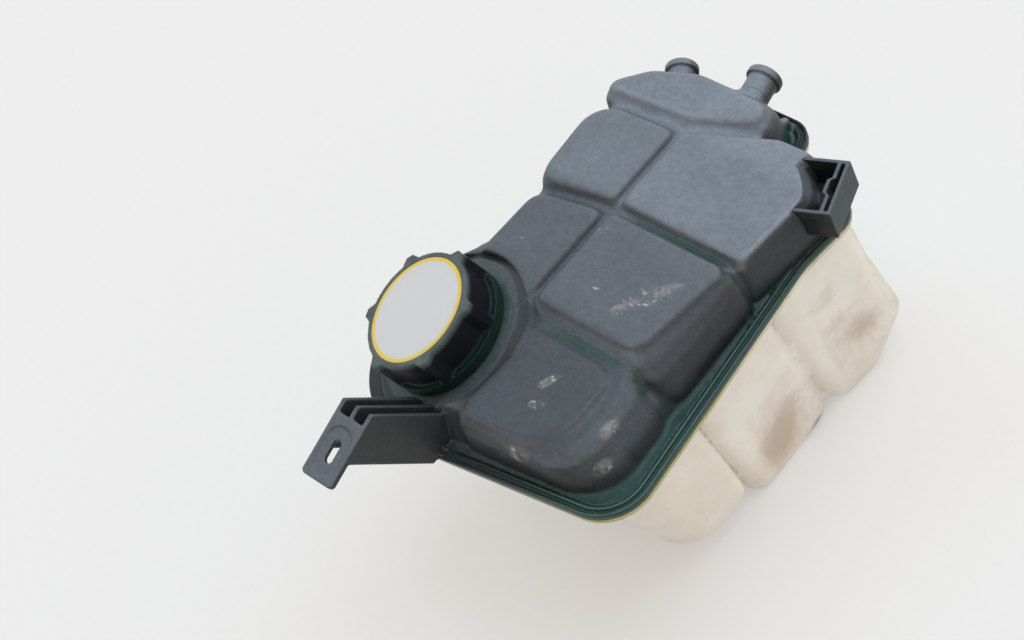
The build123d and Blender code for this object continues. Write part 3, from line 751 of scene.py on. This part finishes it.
# clip of thin plates, in plan: x out from the tank and y along the outer plate, in mm
clipBracket = {
    "corner": (69.5, 86.7),
    "turn": 20.0,
    "low": 113.0,
    "high": 131.0,
    "width": 31.5,
    "reach": 33.0,
    "plate": 1.9,
    "slot": 2.0,
    "step": 2.1,
    "stepFar": 5.4,
    "stepNear": -4.9,
    "stepRun": 1.5,
    "voxel": 0.42,
}
clipZone = {"centre": (54.5, 81.24, 123.0), "turn": 20.0, "half": (17.5, 17.4, 10.4)}


# takes the solid's thick clip off the skin, so that the thin plates stand on a plain pillow
def clipCorner(points):
    values = pillowCorner
    inside = np.nonzero(boxShare(points, clipZone, 0.4) > 0.5)[0]
    places = points[inside] / mm
    for _ in range(3):
        away, rays = [], []
        for place, ray, leans in values["sides"]:
            lean = np.interp(places[:, 2], values["heights"], leans)
            away.append((places[:, :2] - np.array(place)) @ np.array(ray) + lean)
            rays.append(ray)
        away = np.array(away)
        top = away.max(0)
        weights = np.exp(values["sharp"] * (away - top))
        total = weights.sum(0)
        outside = top + np.log(total) / values["sharp"]
        push = (weights / total).T @ np.array(rays)
        size = (push ** 2).sum(1)
        places[:, :2] -= push * (np.maximum(outside, 0.0) / size)[:, None]
    points = points.copy()
    points[inside] = places * mm
    return points


# plain slope from the boss down to the flange on the filler's free side
bossSlope = {
    "inner": 38.2,
    "outer": 46.5,
    "fall": 0.055,
    "deep": -14.0,
    "towards": (-0.707, -0.707),
    "creaseOuter": 44.2,
    "creaseFall": 0.09,
    "soft": 1.6,
    "rounds": 12,
}


def aboutNeck(points):
    out = points / mm - np.array(neck["centre"]) / mm
    axis = np.array(neck["axis"])
    along = out @ axis
    side = out - along[:, None] * axis
    away = np.linalg.norm(side, axis=1)
    return along, away, side / np.maximum(away, 1e-6)[:, None]


def bossSkirt(points, pairs):
    values = bossSlope
    along, away, side = aboutNeck(points)
    turned = ramp(side[:, :2] @ np.array(values["towards"]), 0.05, 0.35)
    out = np.maximum(away - values["inner"], 0.0) ** 2
    fall = values["creaseFall"] + (values["fall"] - values["creaseFall"]) * turned
    outer = values["creaseOuter"] + (values["outer"] - values["creaseOuter"]) * turned
    reached = ramp(outer - away, 0.0, values["soft"]) * (away > values["inner"]) * (along > values["deep"])
    lift = reached * np.maximum(-0.3 - fall * out - along, 0.0)
    points = points + np.array(neck["axis"]) * (lift * mm)[:, None]
    around = (away > 38.5) & (away < 49.0) & (along > values["deep"]) & (along < 9.0)
    return relaxed(points, pairs, values["rounds"], around.astype(float), (0.5,))


# masks of the rubbed or stained places in a list
def marks(points, rows):
    masks = []
    for place, reach, strength, turn, stretch in rows:
        dx, dy, dz = (points / mm - np.array(place)).T
        along = dx * math.cos(turn) + dy * math.sin(turn)
        across = dy * math.cos(turn) - dx * math.sin(turn)
        away = np.sqrt((along / stretch) ** 2 + across ** 2 + dz ** 2)
        masks.append(strength * fade(away, 0.3 * reach, reach))
    return masks


def paintUpper(mesh, points, pairs, rounds, name=""):
    hollow = hollowness(mesh, points, pairs, rounds)
    x, y, z = (points / mm).T
    ways = facing(mesh)
    along, away, _ = aboutNeck(points)
    high = ramp(z, 112.0, 116.0)
    groove = ramp(hollow, 0.10, 0.55) * high
    lowRow = fade(y, -34.0, -20.0)
    byFlange = fade(z, 103.0, 107.0) * ramp(y, -117.0, -115.0)
    moat = fade(away, 43.5, 47.0) * fade(along, -5.0, -1.5) * ramp(along, -16.0, -8.0)
    ledge = fade(away, 39.0, 41.5) * fade(along, 0.0, 3.0) * ramp(along, -4.0, -1.5)
    rightSide = ramp(x, 30.0, 62.0) * fade(z, 105.0, 122.0)
    byNotch = ramp(y, 84.0, 92.0) * ramp(x, 0.0, 10.0) * fade(z, 110.0, 124.0)
    # green along the two near cross grooves, less in the long one
    crossing = 0.4 + 0.6 * ramp(x, -24.0, 10.0) * np.maximum(fade(np.abs(y - 25.0), 5.0, 10.0),
                                                            fade(np.abs(y + 39.0), 6.0, 11.0))
    crossing *= fade(y, 55.0, 70.0)
    film = np.maximum.reduce([(0.55 + 0.35 * ramp(x, -20.0, 40.0)) * byFlange, 0.5 * moat, 0.62 * ledge,
                              0.62 * rightSide, 0.85 * byNotch, groove * (0.15 + 0.85 * crossing)])
    foot = ramp(x, 44.0, 60.0) * fade(z, 104.0, np.where(y > 27.0, 112.0, 117.0)) * ramp(z, 102.2, 103.6)
    # painted shade: groove floors, the moat and crease round the boss, and the foot of the right slopes by the
    # flange
    soot = np.maximum.reduce([(0.40 + 0.45 * lowRow) * ramp(hollow, 0.40, 0.9) * high, 0.5 * moat,
                              0.8 * fade(away, 46.0, 50.0) * ramp(away, 39.0, 41.0) * ramp(hollow, 0.1, 0.7),
                              0.92 * foot])
    edge = ramp(-hollow, 0.15, 1.1)
    # dust and painted sheen on the rows of pillows, lighter from the filler towards the spigots; painted shade
    # on the left side
    rows = np.interp(y, [-44.0, -34.0, 22.0, 32.0, 75.0, 84.0], [0.17, 0.36, 0.40, 0.72, 0.74, 0.86])
    dust = rows * (1.0 - 0.12 * fade(x, -30.0, -16.0))
    # painted highlight on slopes that catch the light: the near slope of the far row, and the right slopes of
    # the far rows and of the row by the filler; painted shade on the right slopes of the middle row
    dust += 0.8 * ramp(y, 78.0, 81.0) * fade(y, 88.0, 94.0) * ramp(-ways[:, 1], 0.12, 0.4)
    slope = ramp(ways[:, 0], 0.2, 0.45) * ramp(x, 30.0, 40.0)
    nearRows = np.where(y > -39.0, -0.45, 0.6) * dust
    dust += slope * np.where(y > 27.0, 0.75 * ramp(z, 106.0, 116.0), nearRows)
    # painted highlight on the front slopes of the row by the filler
    dust += 0.16 * lowRow * ramp(-ways[:, 1], 0.3, 0.6)
    dust = np.where(away < 44.0, 0.30 * ledge, dust)
    if name == "mountingArm":
        film = film * 0.4
        # painted shade in the arm's slots and on the faces turned to the front
        shaded = ramp(-ways[:, 1], 0.5, 0.9) * ramp(y, -132.0, -126.0)
        soot = np.maximum(0.9 * ramp(hollow, 0.2, 0.9), 0.5 * shaded)
        dust = 0.10 + 0.32 * fade(y, -134.0, -128.0)
        edge = ramp(-hollow, 0.08, 0.5)
    if name == "clipBracket":
        turn = math.radians(clipBracket["turn"])
        nearFace = ways[:, 1] * math.cos(turn) - ways[:, 0] * math.sin(turn)
        outFace = ways[:, 0] * math.cos(turn) + ways[:, 1] * math.sin(turn)
        # painted shade on the faces turned to the near side and inside the clip
        within = fade(z, 125.0, 130.0) * fade(outFace, 0.2, 0.6)
        soot = np.maximum(0.72 * ramp(-nearFace, 0.4, 0.9), 0.9 * within)
        film = 0.5 * ramp(outFace, 0.5, 0.9)
        dust = np.full(len(points), 0.35)
        edge = ramp(-hollow, 0.06, 0.4)
    scuff = np.maximum.reduce(marks(points, upperHalf["scuffs"]))
    paint(mesh, film=film, soot=soot, edge=edge, dust=dust, scuff=scuff)


def plainUpper(piece, film, edge):
    paint(piece.data, film=film, edge=edge, soot=0.0, dust=0.0, scuff=0.0)


def slimShare(points, soft):
    return np.maximum.reduce([boxShare(points, zone, soft) for zone in slimFeatures.values()])


def buildUpperHalf():
    values = upperHalf

    def plug(bm):
        plugSheet(bm, 3.0, flange["solidWeld"], flange["solidWeld"] + 1.2)
        plugDisc(bm, neck["centre"] / mm + neck["axis"] * values["neckPlug"], neck["axis"], 22.0, 3.0)
        for disc in values["spigotPlugs"]:
            plugDisc(bm, *disc)

    mesh, points, pairs = skinned("upperHalf", "upper_shell", values["voxel"], plug)
    slim = slimShare(points, 1.0)
    low = points[:, 2] < 104.5 * mm
    points = relaxed(points, pairs, values["fineRounds"])
    # the right-hand slopes keep their creases
    crisp = 1.0 - 0.7 * ramp(points[:, 0], 32 * mm, 38 * mm)
    points = relaxed(points, pairs, values["rounds"], np.where(low, 0.0, 1.0 - slim) * crisp, (0.5,))
    points = bossSkirt(clipCorner(points), pairs)
    settle(mesh, points)
    # grooves are soft folds, so their floors come up a little
    hollow = hollowness(mesh, points, pairs, values["hollowRounds"])
    lifted = ramp(points[:, 2], 114 * mm, 118 * mm) * (1.0 - slim)
    points = points + facing(mesh) * (np.clip(hollow - 0.3, 0.0, 1.6) * lifted * values["fill"] * mm)[:, None]
    points = relaxed(points, pairs, values["foldRounds"], ramp(hollow, 0.1, 0.5) * lifted, (0.5,))
    settle(mesh, points)
    tuck = slimShare(points, 2.0)
    points = points - facing(mesh) * (tuck * values["tuck"] * mm)[:, None]
    # the flange itself is a crisp ring, so the skin draws back under it
    aside = np.hypot(points[:, 0] / mm - values["peg"][0], points[:, 1] / mm - values["peg"][1]) > 4.0
    low = np.nonzero((points[:, 2] < 104.2 * mm) & aside)[0]
    depth, out = flangeDepth(points[low])
    points[low, :2] -= out * np.maximum(1.2 - depth, 0.0)[:, None] * mm
    under = low[depth < flange["cover"] - 0.4]
    points[under, 2] = np.minimum(points[under, 2], (flange["top"] - 0.7) * mm)
    points[:, 2] = np.maximum(points[:, 2], (flange["weld"] + 0.1) * mm)
    settle(mesh, points)
    paintUpper(mesh, points, pairs, values["hollowRounds"])
    placePiece("upperHalf", mesh, "tank", "upper_plastic", "upper_shell")


# bolt slot of the tab: its edge draws in towards the slot's middle line
tabSlot = {
    "centre": (-36.25, -151.7, 149.6),
    "along": (0.0, 0.9484, 0.3172),
    "half": 3.3,
    "radius": 3.2,
    "draw": 0.75,
    "soft": 3.0,
}


def narrowSlot(points):
    values = tabSlot
    out = points / mm - np.array(values["centre"])
    way = np.array(values["along"])
    run = np.clip(out @ way, -values["half"], values["half"])
    side = out - run[:, None] * way
    across = np.array([1.0, 0.0, 0.0])
    flat = np.c_[side @ across, side @ way]
    away = np.maximum(np.linalg.norm(flat, axis=1), 1e-6)
    upright = np.abs(side @ np.cross(across, way)) < 6.0
    draw = values["draw"] * fade(away, values["radius"], values["radius"] + values["soft"]) * upright
    step = (flat / away[:, None]) * draw[:, None]
    return points - (step[:, :1] * across + step[:, 1:] * way) * mm


def buildSlimFeatures():
    for name, zone in slimFeatures.items():
        mesh, points, pairs = skinned(name, "upper_shell", zone["voxel"], None, zone)
        points = relaxed(points, pairs, 2)
        inFlange = (points[:, 2] < 103.5 * mm) & (points[:, 1] > -115.6 * mm)
        points[inFlange] += np.array([0.0, 0.4, -0.4]) * mm
        if name == "mountingArm":
            points = narrowSlot(points)
        settle(mesh, points)
        paintUpper(mesh, points, pairs, 12, name)
        placePiece(name, mesh, "tank", "upper_plastic")


def clipPlates(bm):
    values = clipBracket
    wide, plate, reach = values["width"] / 2, values["plate"], values["reach"]
    face = -plate - values["slot"]
    back, far, near, run = face - values["step"], values["stepFar"], values["stepNear"], values["stepRun"]
    line = [(face, wide - 0.5), (face, far), (back, far - run), (back, near + run), (face, near),
            (face, 0.5 - wide)]
    plans = [[(0, -wide), (0, wide), (-plate, wide), (-plate, -wide)],
             [(-0.5, wide), (-reach, wide), (-reach, wide - plate), (-0.5, wide - plate)],
             [(-0.5, plate - wide), (-reach, plate - wide), (-reach, -wide), (-0.5, -wide)],
             line + [(x - plate, y) for x, y in line[::-1]]]
    turn = standing((*values["corner"], 0.0), values["turn"])
    for plan in plans:
        prism(bm, *[[turn @ (Vector((x, y, height)) * mm) for x, y in plan]
                    for height in (values["low"], values["high"])])
    bmesh.ops.recalc_face_normals(bm, faces=bm.faces)


def buildClipBracket():
    mesh, points, pairs = skinned("clipBracket", None, clipBracket["voxel"], clipPlates)
    points = relaxed(points, pairs, 2)
    settle(mesh, points)
    paintUpper(mesh, points, pairs, 12, "clipBracket")
    placePiece("clipBracket", mesh, "tank", "upper_plastic")


buildUpperHalf()
buildSlimFeatures()
buildClipBracket()

# weld flange of the upper half with its two ridges, which die out beside the filler
flangeRing = {
    "ridges": [0.75, 4.35],
    # across a ridge, as shares of its half width and of its rise
    "ridge": [(-1.0, 0.0), (-1.0, 0.7), (-0.75, 0.93), (0.0, 1.0), (0.75, 0.93), (1.0, 0.7), (1.0, 0.0)],
    "half": 0.75,
    "rise": 1.22,
    "plainWithin": 62.0,
    "ridgedBeyond": 72.0,
    "step": 1.6,
}


def buildFlangeRing():
    values = flangeRing
    places, outward = flangeOutline(values["step"])
    hub = neck["centre"].to_2d() / mm
    away = np.array([(place - hub).length for place in places])
    rise = values["rise"] * ramp(away, values["plainWithin"], values["ridgedBeyond"])
    weld, top, half = flange["weld"], flange["top"] + 0.04, values["half"]

    def profileAt(index):
        profile = [(0.35, weld + 0.04), (0.0, weld + 0.3)]
        for middle in values["ridges"]:
            profile += [(middle + half * side, top + rise[index] * share) for side, share in values["ridge"]]
        return profile + [(flange["cover"] - 0.2, top - 0.02), (flange["cover"] + 0.2, top - 0.5),
                          (flange["cover"] + 0.2, weld + 0.04)]

    points, faces = sweptRing(places, outward, profileAt)
    piece = addPiece("flangeRing", points, faces, "tank", "upper_plastic")
    x, _, z = (np.array(points) / mm).T
    # painted highlight: the ridge tops take the lighter edge colour, as glints along the ridges on the right
    edge = 0.9 * ramp(z, top + 0.9, top + 1.15) * ramp(x, 0.0, 40.0)
    plainUpper(piece, 0.45 + 0.50 * ramp(x, 0.0, 50.0), edge)


buildFlangeRing()

# lower half
lowerHalf = {
    "voxel": 1.25,
    "rounds": 1,
    "hollowRounds": 26,
    "crease": 54.0,
    "outletPlug": ((-40.0, 120.0, 52.0), (0.0, 1.0, 0.0), 8.4, 2.0),
    # below the ring's foot: where the skin starts to draw in, where it is all in, and how far
    "tuckStart": 7.7,
    "tuckFull": 1.9,
    "tuckIn": 2.4,
    # the far cell is filled at its bevel, where the solid's wall runs out, and has a lid, since it
    # reaches past the sheet at the flange's notch: height, how far drawn in, outline
    "bevel": [(1.5, 2.3, "farFoot"), (5.0, 0.7, "farFoot"), (21.0, 1.0, "farSide")],
    "lid": [(95.0, 1.2, "farTop"), (97.4, 1.2, "farTop")],
    "farFoot": [(-68, 45), (63, 45), (66, 84), (20, 92), (-47, 92), (-68, 70)],
    "farSide": [(-71, 41), (62, 41), (69, 100), (18, 112), (-47, 112), (-71, 86)],
    "farTop": [(-76.5, 31), (57.5, 31), (60.5, 91), (11, 116.5), (-47, 116.5), (-80, 87.5)],
    "farRadii": [10, 9, 14, 14, 16, 10],
    # place, reach, strength, turn and stretch of the brown blotches and of the dark patches
    "blotches": [((57, 3, 21), 17, 0.36, 0.9, 1.7), ((58, 16, 30), 12, 0.22, 0.6, 2.0),
                 ((58, 60, 67), 10, 0.26, 1.2, 2.0), ((58, 72, 34), 12, 0.26, 0.8, 2.2),
                 ((50, -11, 10), 8, 0.40, 1.5, 1.6), ((60, -50, 40), 16, 0.08, 0.3, 2.0)],
    "darks": [((55, -32, 6), 10, 0.80, 1.57, 1.6), ((57, 30, 1), 10, 0.85, 1.57, 2.4),
              ((50, -12, 9), 5, 0.75, 1.57, 1.2)],
}
outletSpigot = {"centre": (-40.0, 126.5, 52.0), "turn": 0.0, "half": (13.0, 7.5, 13.0), "voxel": 0.5}


def paintLower(mesh, points, pairs, rounds):
    values = lowerHalf
    hollow = hollowness(mesh, points, pairs, rounds)
    x, y, z = (points / mm).T
    below = fade(z, values["crease"] - 8.0, values["crease"] + 2.0)
    groove = ramp(hollow, 0.10, 1.2)
    middle = ramp(y, -10.0, -3.0) * fade(y, 38.0, 44.0)
    far = ramp(y, 48.0, 53.0) * fade(y, 70.0, 88.0)
    cells = (0.06 + 0.20 * middle + 0.18 * far) * below
    dirt = 0.22 + np.maximum(cells, 0.50 * groove) + 0.06 * ramp(y, -20.0, 0.0)
    for blotch in marks(points, values["blotches"]):
        dirt += blotch
    deep = np.maximum.reduce([0.52 * ramp(hollow, 0.3, 1.2)] + marks(points, values["darks"]))
    under = 0.85 * ramp(z, 88.0, 95.0) * (0.55 + 0.45 * fade(y, -20.0, 20.0))
    wet = np.maximum(under, 0.55 * ramp(y, 82.0, 98.0) * ramp(x, 34.0, 55.0))
    paint(mesh, dirt=dirt, deepDirt=deep, coolant=wet)


def buildLowerHalf():
    values = lowerHalf

    def plug(bm):
        plugSheet(bm, 1.2, flange["solidWeld"] - 1.5, flange["solidWeld"])
        plugDisc(bm, *values["outletPlug"])
        for fill in ("bevel", "lid"):
            levels = [(height, drawn, values[outline]) for height, drawn, outline in values[fill]]
            plugLevels(bm, levels, values["farRadii"])

    mesh, points, pairs = skinned("lowerHalf", "lower_shell", values["voxel"], plug)
    slim = boxShare(points, outletSpigot, 1.0)
    points = relaxed(points, pairs, 2)
    points = relaxed(points, pairs, values["rounds"], np.where(points[:, 2] > 93 * mm, 0.0, 1.0 - slim))
    points[:, 2] = np.maximum(points[:, 2], 0.0)
    settle(mesh, points)
    points = points - facing(mesh) * (boxShare(points, outletSpigot, 2.0) * 0.9 * mm)[:, None]
    # the solid's flange is tucked into the ring, with a soft start on the wall in the notch
    start, full = flange["foot"] - values["tuckStart"], flange["foot"] - values["tuckFull"]
    high = np.nonzero(points[:, 2] > start * mm)[0]
    share = ramp(points[high, 2] / mm, start, full)
    depth, out = flangeDepth(points[high])
    points[high, :2] -= out * (share * np.maximum(values["tuckIn"] - depth, 0.0))[:, None] * mm
    level = points[high, 2]
    tucked = np.clip(level, (flange["foot"] + 0.5) * mm, (flange["weld"] - 0.5) * mm)
    points[high, 2] = level + share * (depth < flange["cover"]) * (tucked - level)
    settle(mesh, points)
    paintLower(mesh, points, pairs, values["hollowRounds"])
    placePiece("lowerHalf", mesh, "tank", "lower_plastic", "lower_shell")

    mesh, points, pairs = skinned("outletSpigot", "lower_shell", outletSpigot["voxel"], None, outletSpigot)
    points = relaxed(points, pairs, 2)
    settle(mesh, points)
    paintLower(mesh, points, pairs, 12)
    placePiece("outletSpigot", mesh, "tank", "lower_plastic")

    places, outward = flangeOutline(flangeRing["step"])
    step, foot, weld, inner = flange["lowerStep"], flange["foot"], flange["weld"], flange["cover"] + 0.6
    profile = [(step + 0.3, foot + 0.02), (step, foot + 0.35), (step, weld - 0.3), (step + 0.25, weld - 0.06),
               (inner, weld - 0.06), (inner, foot + 0.02)]
    points, faces = sweptRing(places, outward, lambda index: profile)
    piece = addPiece("lowerFlange", points, faces, "tank", "lower_plastic")
    x, y, _ = (np.array(points) / mm).T
    wet = 0.7 + 0.3 * fade(y, -30.0, 10.0) * ramp(x, 0.0, 40.0)
    paint(piece.data, dirt=0.3, deepDirt=0.0, coolant=wet)


buildLowerHalf()

# cap shell
capShell = {
    "voxel": 0.5,
    "rounds": 3,
    "hollowRounds": 20,
}


def buildCapShell():
    values = capShell
    mesh, points, pairs = skinned("capShell", "cap_cover", values["voxel"])
    points = relaxed(points, pairs, values["rounds"])
    settle(mesh, points)
    hollow = hollowness(mesh, points, pairs, values["hollowRounds"])
    paint(mesh, edge=ramp(-hollow, 0.08, 0.6))
    placePiece("capShell", mesh, "cover", "cap_plastic", "cap_cover")


buildCapShell()

# screw thread on the neck, seen when the cap is raised
neckThread = {
    "low": 3.2,
    "turns": 2.6,
    "pitch": 4.0,
    "root": 23.6,
    "crest": 25.2,
    "footHalf": 1.3,
    "crestHalf": 0.5,
    "perTurn": 72,
}


def buildNeckThread():
    values = neckThread
    axis = neck["axis"]
    across = Vector((1, 0, 0)) - axis * axis.x
    across.normalize()
    other = axis.cross(across)
    count = int(values["turns"] * values["perTurn"])
    points, faces = [], []
    for index in range(count + 1):
        angle = 2 * math.pi * index / values["perTurn"]
        run = min(1.0, index / 10, (count - index) / 10)
        crest = values["root"] + (values["crest"] - values["root"]) * run
        ray = across * math.cos(angle) + other * math.sin(angle)
        height = values["low"] + values["pitch"] * index / values["perTurn"]
        for radius, shift in ((values["root"], -values["footHalf"]), (crest, -values["crestHalf"]),
                              (crest, values["crestHalf"]), (values["root"], values["footHalf"])):
            points.append(neck["centre"] + (ray * radius + axis * (height + shift)) * mm)
    for index in range(count):
        for k in range(4):
            n = (k + 1) % 4
            faces.append((index * 4 + k, index * 4 + n, index * 4 + 4 + n, index * 4 + 4 + k))
    faces.append((0, 1, 2, 3))
    faces.append(tuple(count * 4 + k for k in (3, 2, 1, 0)))
    piece = addPiece("neckThread", points, faces, "tank", "upper_plastic")
    plainUpper(piece, 0.3, 0.3)


buildNeckThread()


# the cap's inner pieces and the label keep their solids and get a finish
def finishSolids():
    slots = {
        "label_film": ["cap_label"],
        "housing_plastic": ["valve_housing", "spring_retainer"],
        "seal_rubber": ["neck_seal", "plate_gasket"],
        "valve_metal": ["pressure_plate", "vacuum_valve", "stem_clip"],
        "spring_steel": ["pressure_spring", "vacuum_spring"],
    }
    for slotName, names in slots.items():
        for name in names:
            materials = nodes[name].data.materials
            materials.clear()
            materials.append(finishes[slotName])
    print("solids finished:", sum(map(len, slots.values())))


finishSolids()

# light table, lamps and world
studio = {
    "floor": (0.53, 0.53, 0.53, 1.0),
    "glow": (0.295, 0.295, 0.295, 1.0),
    "floorSize": 6.0,
    "back": (0.853, 0.853, 0.853, 1.0),
    "ambient": (0.655, 0.587, 0.497, 1.0),
    "slope": 0.7,
    "slopeTo": (0.20, 0.60, 0.77),
    "lampColour": (0.44, 0.68, 1.0),
    "lamps": [("overheadKey", 1.1, 56.0, (0.05, 0.56, 0.83)), ("sideSheen", 0.38, 26.0, (-0.63, 0.0, 0.77))],
}


def makeStudio():
    half = studio["floorSize"] / 2
    mesh = bpy.data.meshes.new("floor")
    corners = [(-half, -half, 0), (half, -half, 0), (half, half, 0), (-half, half, 0)]
    mesh.from_pydata(corners, [], [(0, 1, 2, 3)])
    floor = addObject("floor", mesh)
    floor.location.z = -0.0002
    material, tree, shader = newMaterial("lightTable")
    fibre = noise(tree, objectPlace(tree), 220.0, 3.0, 0.6)
    tint = span(tree, fibre, 0.3, 0.7, 0.985, 1.0)
    colour = blendColour(tree, 1.0, studio["floor"], grey(tree, tint), "MULTIPLY")
    tree.links.new(colour, shader.inputs["Base Color"])
    shader.inputs["Emission Color"].default_value = studio["glow"]
    shader.inputs["Emission Strength"].default_value = 1.0
    shader.inputs["Roughness"].default_value = 0.9
    shader.inputs["Specular IOR Level"].default_value = 0.1
    mesh.materials.append(material)

    world = bpy.data.worlds.new("studio")
    scene.world = world
    world.use_nodes = True
    tree = world.node_tree
    tree.nodes.clear()
    rays = put(tree, "ShaderNodeLightPath")
    sky = put(tree, "ShaderNodeTexCoord").outputs["Generated"]
    toward = vectorCalc(tree, "DOT_PRODUCT", sky, studio["slopeTo"], "Value")
    level = calc(tree, "ADD", times(tree, toward, studio["slope"]), 1.0)
    light = put(tree, "ShaderNodeBackground", {"Color": studio["ambient"], "Strength": level})
    seen = put(tree, "ShaderNodeBackground", {"Color": studio["back"], "Strength": 1.0})
    shown = calc(tree, "MAXIMUM", rays.outputs["Is Camera Ray"], rays.outputs["Is Glossy Ray"])
    shown = calc(tree, "MAXIMUM", shown, rays.outputs["Is Transmission Ray"])
    both = put(tree, "ShaderNodeMixShader", {0: shown, 1: light.outputs[0], 2: seen.outputs[0]})
    put(tree, "ShaderNodeOutputWorld", {"Surface": both.outputs[0]})

    for name, strength, softness, source in studio["lamps"]:
        lamp = bpy.data.lights.new(name, "SUN")
        lamp.energy = strength
        lamp.color = studio["lampColour"]
        lamp.angle = math.radians(softness)
        key = addObject(name, lamp)
        key.rotation_mode = "QUATERNION"
        key.rotation_quaternion = Vector(source).to_track_quat("Z", "Y")


makeStudio()
print("studio set")

bpy.context.view_layer.update()
